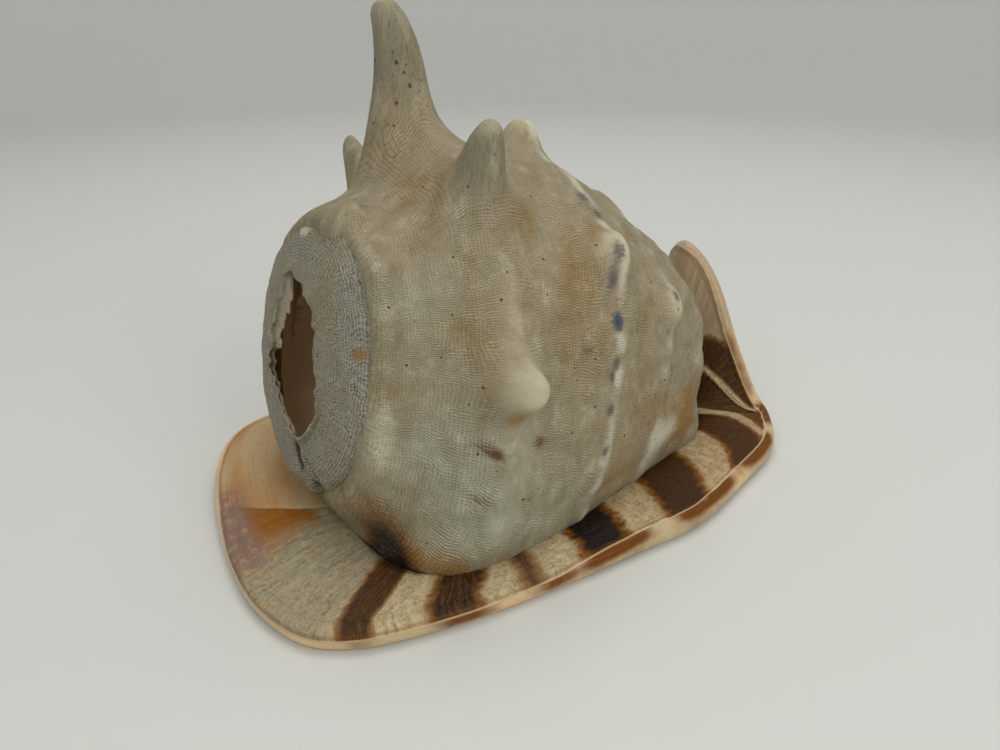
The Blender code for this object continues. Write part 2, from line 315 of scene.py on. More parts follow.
def horned(points):
    """Draws horns and knobs out of the plain body whorl, and tells how far up each of them a point is."""
    along, across, up = axes()
    moved = points.copy()
    tips = np.zeros((len(HORNS), *points.shape[:-1]))
    numbers = np.arange(len(BODY_ROWS), dtype=float)
    row_places = np.array([place for place, _ in BODY_ROWS])
    for number, (place, angle, rise, back, side, width) in enumerate(HORNS):
        row = np.interp(place, row_places[1:], numbers[1:])
        foot_angle = np.array([[float(angle)]])
        foot = on_axis(*body_grid(np.array([row]), foot_angle), foot_angle)[0, 0]
        turn = math.radians(angle)
        out = math.cos(turn) * up - math.sin(turn) * across
        round_it = -math.sin(turn) * up - math.cos(turn) * across
        reach = np.linalg.norm(points - foot, axis=-1)
        share = 1.0 / (1.0 + (reach / width) ** HORN_FLARE)
        moved += share[..., None] * (rise * out - back * along + side * round_it)
        if number == LONGEST:
            moved += (HORN_BOW * share * (1.0 - share) * (share - BOW_FROM))[..., None] * along
        tips[number] = share
    return moved, tips


def lattice_noise(points, size, seed):
    """Smooth noise from -1 to 1, with features of a size."""
    cells = 24
    table = np.random.default_rng(seed).uniform(-1.0, 1.0, (cells, cells, cells))
    at = points / size
    cell = np.floor(at).astype(int)
    part = at - cell
    part = part * part * (3 - 2 * part)
    total = np.zeros(points.shape[:-1])
    for corner in np.ndindex(2, 2, 2):
        index = (cell + corner) % cells
        weight = np.prod(np.where(corner, part, 1 - part), axis=-1)
        total += weight * table[index[..., 0], index[..., 1], index[..., 2]]
    return total


def soft_spot(across, along, width, length):
    """1 in the middle of a spot, and softly down to 0 round it."""
    return np.exp(-((across / width) ** 2) - (along / length) ** 2)


def grid_normals(grid, outward):
    """Unit normals of a grid of points, turned to the side of the outward directions."""
    normal = np.cross(np.gradient(grid, axis=0), np.gradient(grid, axis=1))
    normal /= np.maximum(np.linalg.norm(normal, axis=-1), 1e-9)[..., None]
    side = np.sign((normal * outward).sum(axis=-1))
    side[side == 0] = 1
    return normal * side[..., None]


def ramp(value, low, high):
    """0 below low, 1 above high, and smooth between."""
    share = np.clip((value - low) / (high - low), 0.0, 1.0)
    return share * share * (3 - 2 * share)


def inside_box(points):
    """Keeps points in the box of the solids, in the drawing frame."""
    low = np.array(CAD_BOX[0]) / MM - SHIFT
    high = np.array(CAD_BOX[1]) / MM - SHIFT
    return np.clip(points, low + LOWEST, high - LOWEST)


def grid_piece(name, grid, masks, round_columns, round_rows, material):
    """One mesh piece from a grid of points, with masks as attributes, closed on itself where it is round."""
    rows, columns = grid.shape[:2]
    index = np.arange(rows * columns).reshape(rows, columns)
    if round_columns:
        index = np.concatenate([index, index[:, :1]], axis=1)
    if round_rows:
        index = np.concatenate([index, index[:1]], axis=0)
    faces = np.stack([index[:-1, :-1], index[:-1, 1:], index[1:, 1:], index[1:, :-1]], axis=-1).reshape(-1, 4)
    points = (inside_box(grid) + SHIFT).reshape(-1, 3) * MM
    mesh = bpy.data.meshes.new(name)
    mesh.vertices.add(len(points))
    mesh.vertices.foreach_set("co", points.ravel())
    mesh.loops.add(faces.size)
    mesh.loops.foreach_set("vertex_index", faces.ravel())
    mesh.polygons.add(len(faces))
    mesh.polygons.foreach_set("loop_start", np.arange(0, faces.size, 4))
    mesh.update(calc_edges=True)
    mesh.shade_smooth()
    for mask, values in masks.items():
        if values.ndim == 3:
            layer = mesh.attributes.new(mask, "FLOAT_VECTOR", "POINT")
            layer.data.foreach_set("vector", values.reshape(-1, 3).ravel())
        else:
            layer = mesh.attributes.new(mask, "FLOAT", "POINT")
            layer.data.foreach_set("value", values.ravel())
    mesh.materials.append(material)
    piece = bpy.data.objects.new(name, mesh)
    bpy.context.scene.collection.objects.link(piece)
    return piece


def turn_faces(piece):
    """Turns the faces of a piece to its other side."""
    piece.data.flip_normals()
    return piece


def paint(colour):
    """Linear colour from 8-bit sRGB."""
    share = np.array(colour) / 255.0
    linear = np.where(share <= 0.04045, share / 12.92, ((share + 0.055) / 1.055) ** 2.4)
    return (*linear, 1.0)


class Skin:
    """A procedural material. Its methods take sockets or plain numbers, and give a socket."""

    def __init__(self, name):
        self.material = bpy.data.materials.new(name)
        self.material.use_nodes = True
        self.tree = self.material.node_tree
        self.surface = self.tree.nodes["Principled BSDF"]

    def put(self, socket, value):
        if isinstance(value, bpy.types.NodeSocket):
            self.tree.links.new(value, socket)
        else:
            socket.default_value = value

    def node(self, kind, inputs, **settings):
        made = self.tree.nodes.new(kind)
        for key, value in settings.items():
            setattr(made, key, value)
        for key, value in inputs.items():
            self.put(made.inputs[key], value)
        return made

    def mask(self, name):
        return self.node("ShaderNodeAttribute", {}, attribute_name=name).outputs["Fac"]

    def at(self, name):
        return self.node("ShaderNodeAttribute", {}, attribute_name=name).outputs["Vector"]

    def math(self, operation, first, second=0.0, third=0.0):
        inputs = {0: first, 1: second, 2: third}
        return self.node("ShaderNodeMath", inputs, operation=operation).outputs[0]

    def times(self, first, second):
        return self.math("MULTIPLY", first, second)

    def plus(self, first, second):
        return self.math("ADD", first, second)

    def minus(self, first, second):
        return self.math("SUBTRACT", first, second)

    def most(self, first, second):
        return self.math("MAXIMUM", first, second)

    def size(self, value):
        return self.math("ABSOLUTE", value)

    def scaled(self, value, by, plus):
        return self.math("MULTIPLY_ADD", value, by, plus)

    def step(self, value, low, high):
        """0 below low, 1 above high, and smooth between."""
        inputs = {"Value": value, "From Min": low, "From Max": high}
        return self.node("ShaderNodeMapRange", inputs, interpolation_type="SMOOTHSTEP").outputs[0]

    def mix(self, share, first, second):
        made = self.node("ShaderNodeMix", {0: share}, data_type="RGBA")
        self.put(made.inputs[6], paint(first) if isinstance(first, tuple) else first)
        self.put(made.inputs[7], paint(second) if isinstance(second, tuple) else second)
        return made.outputs[2]

    def mix_value(self, share, first, second):
        """The same for plain values."""
        return self.node("ShaderNodeMix", {0: share, 2: first, 3: second}).outputs[0]

    def stain(self, base, colour, value, low, high, most):
        """Lays a colour over a base as a value goes from low to high, and at most by a share."""
        return self.mix(self.times(self.step(value, low, high), most), base, colour)

    def stretched(self, at, stretch):
        """A place with each way stretched, or all alike where the stretch is one number."""
        if not isinstance(stretch, tuple):
            stretch = (stretch, stretch, stretch)
        return self.node("ShaderNodeVectorMath", {0: at, 1: stretch}, operation="MULTIPLY").outputs[0]

    def noise(self, at, stretch, detail=2.0, roughness=0.5):
        """Noise from 0 to 1 over a place, with stretch as features per millimetre each way."""
        inputs = {"Vector": self.stretched(at, stretch), "Scale": 1.0, "Detail": detail}
        inputs["Roughness"] = roughness
        return self.node("ShaderNodeTexNoise", inputs).outputs["Fac"]

    def sway(self, at, stretch, reach, detail=2.0):
        """Noise that goes up and down round 0, over a reach."""
        return self.times(self.minus(self.noise(at, stretch, detail), 0.5), reach)

    def cells(self, at, stretch):
        inputs = {"Vector": self.stretched(at, stretch), "Scale": 1.0}
        return self.node("ShaderNodeTexVoronoi", inputs).outputs["Distance"]

    def millimetres(self):
        """The place of a point of the surface, in millimetres."""
        return self.stretched(self.node("ShaderNodeNewGeometry", {}).outputs["Position"], 1 / MM)

    def part(self, at, axis):
        return self.node("ShaderNodeSeparateXYZ", {0: at}).outputs[axis]

    def waves(self, coordinate, pitch, shift):
        """Ridges from 0 to 1 at a pitch, moved by a shift, both in millimetres."""
        turn = self.times(self.plus(coordinate, shift), 2 * math.pi / pitch)
        return self.scaled(self.math("SINE", turn), 0.5, 0.5)

    def finish(self, colour, roughness, height, depth):
        """Links colour and roughness, and a bump whose full height is depth in millimetres."""
        self.surface.inputs["Specular IOR Level"].default_value = SKIN_SPECULAR
        self.put(self.surface.inputs["Base Color"], colour)
        self.put(self.surface.inputs["Roughness"], roughness)
        inputs = {"Height": height, "Strength": 1.0, "Distance": depth * MM}
        bump = self.node("ShaderNodeBump", inputs)
        self.put(self.surface.inputs["Normal"], bump.outputs[0])
        return self.material


# Spiral ribs of the body whorl: place, height, half width, spacing of beads round the shell
RIBS = ((-42.0, 0.5, 5.0, 26.0), (4.0, 0.9, 4.2, 17.0), (40.0, 0.8, 4.2, 15.0), (-65.0, 0.3, 4.0, 14.0),
        (22.0, 0.35, 3.0, 12.0), (62.0, 0.4, 3.0, 12.0))

# Markings of the body: place, angle, half length along the axis, half width round it, strength. Where it is
# worn, the net of lines is smooth
BODY_SPOTS = {
    "brown": (
        (-64, 136, 9, 13, 1.9), (-74, 130, 8, 14, 0.95), (-80, 120, 6, 10, 0.45), (-56, 136, 9, 5, 1.0),
        (-48, 130, 4, 7, 0.45),
    ),
    "ochre": (
        (-58, 127, 6, 8, 0.9), (-50, 125, 5, 7, 0.8), (-10, 62, 16, 16, 0.55), (-13, 45, 12, 18, 0.45),
        (16, 92, 7, 26, 0.5), (-4, 38, 10, 12, 0.5), (-57, 15, 16, 14, 0.5), (-60, -8, 12, 14, 0.5),
        (26, 60, 8, 40, 0.4), (58, 92, 16, 12, 0.9), (68, 84, 8, 10, 0.7), (34, 88, 8, 16, 0.5),
        (20, 105, 12, 8, 0.5), (-30, 30, 10, 20, 0.35), (10, -30, 20, 30, 0.35), (-50, -60, 16, 20, 0.4),
        (30, -80, 16, 24, 0.4), (-60, 60, 8, 14, 0.3), (-43, 84, 4, 5, 1.0), (-50, 80, 8, 8, 0.5),
        (-38, 12, 12, 12, 0.6), (66, 100, 10, 12, 0.8),
    ),
    "rust": (
        (-50, 93, 5.5, 3.0, 0.8), (-46, 94.5, 3.5, 2.0, 1.0), (-30.5, 91, 4.0, 2.4, 1.1),
        (-49, 106, 4.5, 2.2, 0.9), (-32, 104, 4.0, 2.2, 0.7), (-9.5, 68, 3.5, 3.5, 0.9),
        (-14.6, 72, 3.0, 3.0, 0.8), (-10, 81, 3.0, 3.0, 0.6), (-38, -70, 5.0, 3.0, 0.7),
        (-20, -95, 4.0, 3.0, 0.6), (20, -60, 4.0, 3.0, 0.7), (-24, -40, 4.0, 3.0, 0.7),
    ),
    "purple": (
        (2.5, 24, 3.0, 3.5, 1.0), (5, 30, 2.6, 3.2, 1.0), (2.6, 44, 3.4, 3.6, 1.0),
        (0.8, 50, 2.6, 4.0, 1.0), (3.0, 60.5, 3.0, 3.4, 1.0), (3.4, 71.5, 2.0, 2.8, 1.0),
        (1.6, 75.5, 1.4, 3.0, 1.0), (3.0, 84.5, 2.2, 2.6, 1.0), (4.2, 96.5, 2.6, 3.2, 1.0),
        (3, -20, 2.4, 3.5, 1.0), (2, -38, 2.4, 4.0, 1.0), (3, -52, 2.4, 3.0, 1.0), (2, -68, 2.4, 3.5, 1.0),
        (3, -84, 2.4, 3.0, 1.0), (39, 52, 2.4, 3.0, 1.0), (38, 20, 2.4, 3.0, 1.0), (39, -14, 2.4, 3.0, 1.0),
        (38, -40, 2.4, 3.0, 1.0),
    ),
    "blue": (
        (3.6, 60.5, 3.8, 4.0, 1.1), (4, 44, 2.4, 3.6, 0.5),
    ),
    "worn": (
        (-40, 97, 6, 20, 1.0), (-41, 62, 4.5, 22, 0.9), (-84, 20, 4, 12, 0.5), (50, 98, 10, 10, 0.8),
        (3, 60, 3.0, 70, 0.45), (40, 60, 3.0, 60, 0.35),
    ),
    "pale": (
        (-42, 100, 6, 18, 0.35), (-41, 62, 4, 20, 0.5), (-80, 60, 4, 60, 0.4), (-80, 96, 6, 16, 0.6),
        (44, 104, 9, 12, 0.9), (54, 97, 8, 9, 0.7), (70, 70, 8, 10, 0.6), (-84, 30, 3, 16, 0.5),
    ),
    "cool": (
        (-64, 104, 22, 30, 0.8), (-30, 104, 30, 22, 0.6), (-66, 60, 12, 30, 0.5), (-30, 118, 24, 14, 0.5),
        (-20, -60, 30, 40, 0.4), (-60, -100, 20, 30, 0.5),
    ),
}


def spread_rows(count):
    """Row numbers from the suture to the canal end at even steps over the surface."""
    fine = np.linspace(BODY_FROM, BODY_TO, 2000)
    places, radii = body_grid(fine, np.full((len(fine), 1), 60.0))
    length = np.concatenate([[0.0], np.cumsum(np.hypot(np.diff(places[:, 0]), np.diff(radii[:, 0])))])
    return np.interp(np.linspace(0.0, length[-1], count), length, fine)


def angle_limits(rows, height, inset):
    """For each row, the angles on both sides where the surface comes down to a height."""
    fine = np.linspace(0.0, 180.0, 361)
    limits = []
    for side in (-1.0, 1.0):
        angles = np.repeat(fine[None] * side, len(rows), axis=0)
        places, radii = body_grid(rows, angles)
        low = on_axis(places, radii - inset, angles)[..., 2] < height
        low[:, 0] = False
        first = np.where(low.any(axis=1), low.argmax(axis=1), len(fine) - 1)
        limits.append(fine[first] * side)
    kernel = np.ones(9) / 9
    return [np.convolve(np.pad(limit, 4, mode="edge"), kernel, mode="valid") for limit in limits]


def body_angles(rows, count, height, inset):
    """Even angles over each row, from its one side to the other at a height."""
    first, last = angle_limits(rows, height, inset)
    share = np.linspace(0.0, 1.0, count)
    return first[:, None] + (last - first)[:, None] * share


def capped(places, radii, angles, rings):
    """Adds rings that round off the canal end of a whorl."""
    turn = np.linspace(0.0, math.pi / 2, rings)[1:, None]
    places = np.concatenate([places, places[-1:] + CAP_DEPTH * np.sin(turn)])
    radii = np.concatenate([radii, radii[-1:] * np.maximum(np.cos(turn), 0.02)])
    return places, radii, np.concatenate([angles, np.repeat(angles[-1:], len(turn), axis=0)])


def crease_line():
    """Close points all along the crease between the body and the lips."""
    stations = np.array([crease for _, crease, _ in RIM], float)
    count = float(len(RIM))
    return round_curve(np.arange(count), stations, np.arange(0.0, count, 0.05), count)


def meet_crease(grid):
    """Draws the foot of the body whorl out to the crease of the lips."""
    line = crease_line()[:, :2]
    columns = grid.shape[1]
    moved = grid.copy()
    kernel = np.ones(FOOT_SMOOTH) / FOOT_SMOOTH
    for foot, half in ((0, slice(0, columns // 2)), (columns - 1, slice(columns // 2, columns))):
        place = grid[:, foot, :2]
        gaps = line[None] - place[:, None]
        nearest = np.linalg.norm(gaps, axis=-1).argmin(axis=1)
        offset = gaps[np.arange(len(place)), nearest]
        length = np.linalg.norm(offset, axis=1)[:, None]
        offset *= np.minimum(1.0, FOOT_REACH / np.maximum(length, 1e-6))
        padded = np.pad(offset, ((FOOT_SMOOTH // 2, FOOT_SMOOTH // 2), (0, 0)), mode="edge")
        offset = np.stack([np.convolve(padded[:, k], kernel, mode="valid") for k in (0, 1)], axis=-1)
        share = 1.0 - ramp(grid[:, half, 2], *FOOT_HEIGHTS)
        moved[:, half, :2] += offset[:, None] * share[..., None]
    return moved


def distance_to(points, line):
    """Distance of each point from the nearest point of a line."""
    tree = kdtree.KDTree(len(line))
    for number, point in enumerate(line):
        tree.insert(Vector(point), number)
    tree.balance()
    flat = points.reshape(-1, 3)
    return np.array([tree.find(Vector(point))[2] for point in flat]).reshape(points.shape[:-1])


def body_relief(points, places, angles):
    """How far the surface stands out from the smooth whorl, in millimetres."""
    around = np.radians(angles) * BODY_SIZE
    relief = np.zeros(places.shape)
    for place, height, width, spacing in RIBS:
        beads = 0.65 + 0.35 * np.cos(around * 2 * math.pi / spacing)
        relief += height * beads * np.exp(-(((places - place) / width) ** 2))
    flow = np.stack([places * 0.35, around, np.zeros_like(places)], axis=-1)
    for where, height, size, seed in ((flow, 0.45, 9.0, 3), (flow, 0.22, 4.0, 4), (points, 0.25, 7.0, 5),
                                      (points, 0.10, 2.6, 6)):
        relief += height * lattice_noise(where, size, seed)
    return relief


def spots(spot_list, places, around):
    """A mask that adds up soft spots given by place, angle, half length, half width and strength."""
    total = np.zeros(places.shape)
    for place, angle, length, width, strength in spot_list:
        total += strength * soft_spot(around - math.radians(angle) * BODY_SIZE, places - place, width, length)
    return total


def pale_ribs(places, around):
    """The two main spiral ribs, paler than the whorl and uneven along their way."""
    ribs = 1.15 * np.exp(-(((places - 5.0) / 3.6) ** 2)) + 0.7 * np.exp(-(((places - 40.0) / 5.5) ** 2))
    return ribs * (0.72 + 0.28 * np.sin(around / 3.1 + 1.7 * np.sin(around / 7.3)))


def body_piece(material):
    """The body whorl with its horns, its relief and its masks."""
    rows = spread_rows(BODY_ALONG)
    angles = body_angles(rows, BODY_AROUND, BODY_EDGE, 0.0)
    places, radii = body_grid(rows, angles)
    near_suture = ramp(rows, 2.0, 1.2)[:, None]
    over_top = ramp(angles, 20.0, 12.0) * ramp(angles, -70.0, -40.0)
    places = places - SUTURE_STEP * near_suture * over_top
    places, radii, angles = capped(places, radii, angles, 10)
    smooth = on_axis(places, radii, angles)
    grid, tips = horned(smooth)
    outward = grid_normals(grid, smooth - on_axis(places, np.zeros_like(radii), angles))
    grid += outward * body_relief(grid, places, angles)[..., None]
    grid = meet_crease(grid)
    around = np.radians(angles) * BODY_SIZE
    masks = {name: spots(spot_list, places, around) for name, spot_list in BODY_SPOTS.items()}
    masks["pale"] += pale_ribs(places, around)
    masks["skin_at"] = np.stack([places, around, np.zeros_like(places)], axis=-1)
    masks["knob"] = np.max(tips[list(PALE_KNOBS)], axis=0)
    masks["horn"] = np.max(tips[list(LONG_HORNS)], axis=0)
    masks["pitted"] = tips[LONGEST]
    masks["crease"] = distance_to(grid, crease_line())
    return grid_piece("shell_body", grid, masks, False, False, material)


def room_piece(material):
    """The wall of the room in the body whorl, seen through the mouth."""
    rows = np.linspace(*ROOM_ROWS, 60)
    angles = body_angles(rows, 120, FLOOR_TOP - 1.0, WALL)
    places, radii = body_grid(rows, angles)
    places, radii, angles = capped(places, radii - WALL, angles, 8)
    grid = on_axis(places, radii, angles)
    masks = {"skin_at": np.stack([places, np.radians(angles) * ROOM_SIZE, np.zeros_like(places)], axis=-1)}
    return turn_faces(grid_piece("shell_room", grid, masks, False, False, material))


def hole_radii(angles, turn):
    """Radii of the ragged edge of the hole. Its far left side is more jagged."""
    jagged = 1.0 + 0.9 * np.exp(-(((angles + 105.0) / 55.0) ** 2))
    wave = angles * HOLE_TEETH / 2 + 14.0 * np.sin(np.radians(angles * 3))
    teeth = np.abs(np.sin(np.radians(wave))) - 0.5
    ragged = 0.9 * lattice_noise(turn, 5.0, 11) + 0.5 * lattice_noise(turn, 1.9, 15)
    return around_radii(HOLE_RADII, angles) + jagged * HOLE_TOOTH * teeth + ragged


def whorl_profile(profile, count):
    """Evenly spaced places and radii along a profile."""
    profile = np.array(profile, float)
    numbers = np.arange(len(profile), dtype=float)
    fine = curve(numbers, profile, np.linspace(0.0, len(profile) - 1, 600))
    length = np.concatenate([[0.0], np.cumsum(np.linalg.norm(np.diff(fine, axis=0), axis=1))])
    at = np.linspace(0.0, length[-1], count)
    return np.stack([np.interp(at, length, fine[:, 0]), np.interp(at, length, fine[:, 1])], axis=-1)


def curtain_width(angles, turn):
    """How far the strip of older wall stands into the hole at each angle."""
    width = ramp(angles, CURTAIN_TO, CURTAIN_TO + 8.0) * ramp(angles, CURTAIN_FROM, CURTAIN_FROM - 10.0)
    width = width * CURTAIN_WIDTH * (0.55 + 0.45 * ramp(angles, CURTAIN_TO, CURTAIN_FROM))
    return width + 0.4 * width / CURTAIN_WIDTH * lattice_noise(turn, 4.0, 17)


def whorl_rings(angles):
    """Place, radius, share of the outside and depth of each ring, out to the hole and back inside."""
    turn = HOLE_TURN * np.stack([np.cos(np.radians(angles)), np.sin(np.radians(angles)), angles * 0], axis=-1)
    mouth = hole_radii(angles, turn)
    wander = 1.3 * lattice_noise(turn, 7.0, 12) + 0.5 * lattice_noise(turn, 2.2, 16)
    curtain = curtain_width(angles, turn)
    outer = whorl_profile(INNER_WHORL, 76)[::-1]
    inner = whorl_profile(INNER_HOLLOW, 52)
    rings = [(place, radius, 1.0, 0.0) for place, radius in outer]
    first_place, first_radius = outer[-1]
    for share in np.linspace(0.1, 1.0, 18):
        place = first_place + (HOLE_AT - first_place + wander) * share
        rings.append((place, first_radius + (mouth + HOLE_EDGE - first_radius) * share, 1.0, 0.0))
    flare = HOLE_FLARE * (1.0 - curtain / CURTAIN_WIDTH) * ramp(mouth, 36.0, 30.0)
    rings.append((HOLE_AT + wander - 0.3, mouth + HOLE_EDGE * 0.5, 0.9, 0.0))
    rings.append((HOLE_AT + wander + HOLE_EDGE * 0.4, mouth, 0.75, 0.5))
    for behind, hang, wide, is_outside, how_deep in CURTAIN_RINGS:
        radius = mouth - curtain * hang + flare * wide
        rings.append((HOLE_AT + wander * 0.5 + behind, radius, is_outside, how_deep))
    last_place = HOLE_AT + CURTAIN_RINGS[-1][0]
    last_radius = mouth - curtain * CURTAIN_RINGS[-1][1] + flare
    for share in np.linspace(0.2, 1.0, 5):
        place = last_place + (inner[4][0] - last_place) * share + wander * 0.5 * (1 - share)
        rings.append((place, last_radius + (inner[4][1] - last_radius) * share, 0.0, 5.0 + 4.0 * share))
    rings += [(place, radius, 0.0, place - HOLE_AT) for place, radius in inner[5:]]
    return [np.array([np.broadcast_to(ring[k], angles.shape) for ring in rings], float) for k in range(4)]


def whorl_relief(grid, turns, places, outside):
    """How far the whorl's wall stands out, and where the hollows below the hole are."""
    relief = 0.22 * lattice_noise(grid, 3.0, 13) + 0.5 * lattice_noise(grid, 9.0, 14)
    relief += 0.9 * ramp(turns, 120.0, 150.0) * lattice_noise(grid, 4.5, 18)
    relief *= np.where(outside > 0.5, 1.0, 0.4)
    pockets = np.zeros(places.shape)
    for place, angle, length, width, deep in POCKETS:
        away = np.radians((turns - angle + 180.0) % 360.0 - 180.0) * SPIRE_SIZE
        spot = soft_spot(away, places - place, width, length) * (outside > 0.5)
        relief -= deep * spot
        pockets = np.maximum(pockets, spot)
    return relief, pockets


def whorl_spot(spot, turns, places, outside):
    """A soft spot on the outside of the whorl, given by place, angle, half width round it and half length."""
    place, angle, width, length = spot
    away = np.radians(turns - angle) * SPIRE_SIZE
    return soft_spot(away, places - place, width, length) * (outside > 0.9)


def whorl_piece(material):
    """The inner whorl with its ragged hole: its outside up to the hole, and back along its inside."""
    angles = np.arange(WHORL_AROUND) * 360.0 / WHORL_AROUND - 180.0
    places, radii, outside, depth = whorl_rings(angles)
    turns = np.repeat(angles[None], len(places), axis=0)
    grid = on_axis(places, radii, turns)
    middle = np.asarray(AXIS_POINT) + np.array([WHORL_MIDDLE * axes()[0]])
    normals = grid_normals(grid, grid - middle)
    relief, pockets = whorl_relief(grid, turns, places, outside)
    grid = grid + normals * relief[..., None]
    steps = np.linalg.norm(np.diff(grid, axis=0), axis=-1).mean(axis=1)
    along = np.repeat(np.concatenate([[0.0], np.cumsum(steps)])[:, None], len(angles), axis=1)
    turn = np.radians(turns)
    masks = {
        "skin_at": np.stack([SPIRE_SIZE * np.cos(turn), SPIRE_SIZE * np.sin(turn), along], axis=-1),
        "around": HALF_TURN_BEADS * np.abs(turns) / 180.0,
        "outside": outside,
        "depth": depth,
        "pocket": pockets,
        # Outside of the whorl buried under the body, painted dark as shade
        "buried_shade": ramp(places, -84.0, -78.0) * (outside > 0.9),
        "ochre": whorl_spot(OCHRE_SPOT, turns, places, outside),
        "chip": whorl_spot(CHIP, turns, places, outside),
    }
    return grid_piece("shell_spire", grid, masks, True, False, material)


def stations_around():
    """Rim, crease, roll, outward and upward directions, and station number, at every column of the lips."""
    knots = np.arange(len(RIM), dtype=float)
    stations = np.array([(*rim, *crease, radius) for rim, crease, radius in RIM])
    at = np.arange(RIM_AROUND) * len(RIM) / RIM_AROUND
    stations = round_curve(knots, stations, at, float(len(RIM)))
    rim, crease, roll = stations[:, :3], stations[:, 3:6], stations[:, 6:]
    tangent = np.roll(rim, -1, axis=0) - np.roll(rim, 1, axis=0)
    tangent /= np.linalg.norm(tangent, axis=1)[:, None]
    out = rim - crease
    out -= (out * tangent).sum(axis=1)[:, None] * tangent
    out /= np.linalg.norm(out, axis=1)[:, None]
    return rim, crease, roll, out, np.cross(out, tangent), at


def slot_edge(crease):
    """The edge of the slot that belongs to each column of the lips."""
    x, y = ((crease[:, k] - FLAT_MIDDLE[k]) / FLAT_HALF[k] for k in (0, 1))
    turn = np.arctan2(y, x)
    x = SLOT_MIDDLE + SLOT_HALF * np.cos(turn)
    line = np.array(SLOT, float)
    y, half = curve(line[:, 0], line[:, 1:], x).T
    side = np.sign(np.sin(turn)) * np.abs(np.sin(turn)) ** 0.6
    return np.stack([x, y + half * side], axis=-1), side


# Dark bars on the lip strip, as station numbers: start at the crease and at the rim, end at the crease and at
# the rim, and how dark the bar is
BARS = (
    (1.45, 1.75, 2.5, 2.45, 0.82), (3.4, 3.4, 4.2, 4.02, 0.9), (4.62, 4.6, 4.84, 4.8, 0.75),
    (5.5, 5.38, 6.15, 5.95, 1.0), (6.95, 6.6, 7.85, 7.32, 1.0), (9.0, 8.0, 10.3, 8.95, 1.0),
    (11.1, 9.35, 13.7, 10.2, 0.8), (14.1, 10.6, 14.0, 12.05, 0.8), (18.6, 18.9, 19.1, 19.5, 0.4),
    (20.6, 20.4, 21.3, 21.0, 0.45), (22.5, 22.6, 23.0, 23.1, 0.35),
)
# Orange-brown patches on the rolled rim: start, end and strength
ROLL_PATCHES = (
    (3.55, 4.1, 0.7), (4.8, 5.2, 0.7), (5.35, 6.15, 1.0), (6.75, 7.75, 1.0), (8.15, 9.1, 1.0),
    (9.65, 10.5, 1.0), (7.9, 8.1, 0.4), (11.0, 12.2, 0.4), (18.9, 19.7, 0.6), (20.4, 21.3, 0.7),
    (22.4, 23.2, 0.6), (2.0, 2.4, 0.3),
)
STATION_LENGTH = 24.0

# The smooth plate behind the spire: where it starts, where it ends at the crease and at the rim
PLATE_FROM, PLATE_TO_CREASE, PLATE_TO_RIM = 23.6, 28.75, 28.05
# The station where the stained flange after the plate ends
FLANGE_TO = 31.6
# Station numbers, and the share of the way over the rolled rim where its gloss begins there
GLOSS_AT = (
    (0.0, 0.40), (1.5, 0.40), (2.6, 0.35), (4.0, 0.29), (5.0, 0.25), (5.6, 0.14), (6.2, 0.09), (9.5, 0.08),
    (11.0, 0.12), (14.0, 0.22), (16.0, 0.18), (18.0, 0.12), (24.0, 0.10), (28.0, 0.26), (29.0, 0.38),
    (30.0, 0.40),
)
LIP_TURN_RADIUS = 112.0

# The thin ridge on the fin: its stations at the crease and at the rim, its height and half width
RIDGE_STATIONS = (14.0, 10.4)
RIDGE_HEIGHT, RIDGE_WIDTH = 1.3, 1.5


def bar_field(at, share):
    """Millimetres inside the nearest dark bar, negative outside, and how dark that bar is."""
    shape = np.broadcast(at, share).shape
    field, strength = np.full(shape, -40.0), np.zeros(shape)
    for start_in, start_out, end_in, end_out, dark in BARS:
        start = start_in + (start_out - start_in) * share
        end = end_in + (end_out - end_in) * share
        inside = np.minimum(at - start, end - at) * STATION_LENGTH
        strength = np.where(inside > field, dark, strength)
        field = np.maximum(field, inside)
    return field, strength


def patch_field(at):
    """How strongly the rolled rim is stained."""
    field = np.zeros(at.shape)
    for start, end, strength in ROLL_PATCHES:
        inside = np.minimum(at - start, end - at) * STATION_LENGTH
        field = np.maximum(field, strength * ramp(inside, -7.0, 5.0))
    return field


def plate_masks(at, share):
    """The smooth plate, as millimetres inside it, and the orange and mauve stains beyond its edge."""
    late = np.where(at < len(RIM) / 2, at + len(RIM), at)
    edge = PLATE_TO_CREASE + (PLATE_TO_RIM - PLATE_TO_CREASE) * share
    plate = np.minimum(at - PLATE_FROM, edge - late) * STATION_LENGTH
    past = (late - edge) * STATION_LENGTH
    reach = 22.0 + 16.0 * ramp(share, 0.2, 0.8)
    orange = ramp(past, -0.5, 0.5) * ramp(past / reach, 1.0, 0.3)
    orange = orange * ramp(share, 0.1, 0.25) * ramp(share, 0.97, 0.84)
    mauve = ramp(share, 0.7, 0.92) * ramp(late, 27.2, 28.0) * ramp(late, 29.9, 29.2)
    flange = ramp(past, 0.0, 3.0) * ramp(late, FLANGE_TO + 0.2, FLANGE_TO - 0.2)
    return plate, orange, mauve, flange


def ridge_distance(at, share):
    """Millimetres from the thin ridge that runs down the fin, between the two last bars."""
    line = RIDGE_STATIONS[0] + (RIDGE_STATIONS[1] - RIDGE_STATIONS[0]) * ramp(share, 0.0, 1.0)
    return (at - line) * STATION_LENGTH * (0.45 + 0.35 * share)


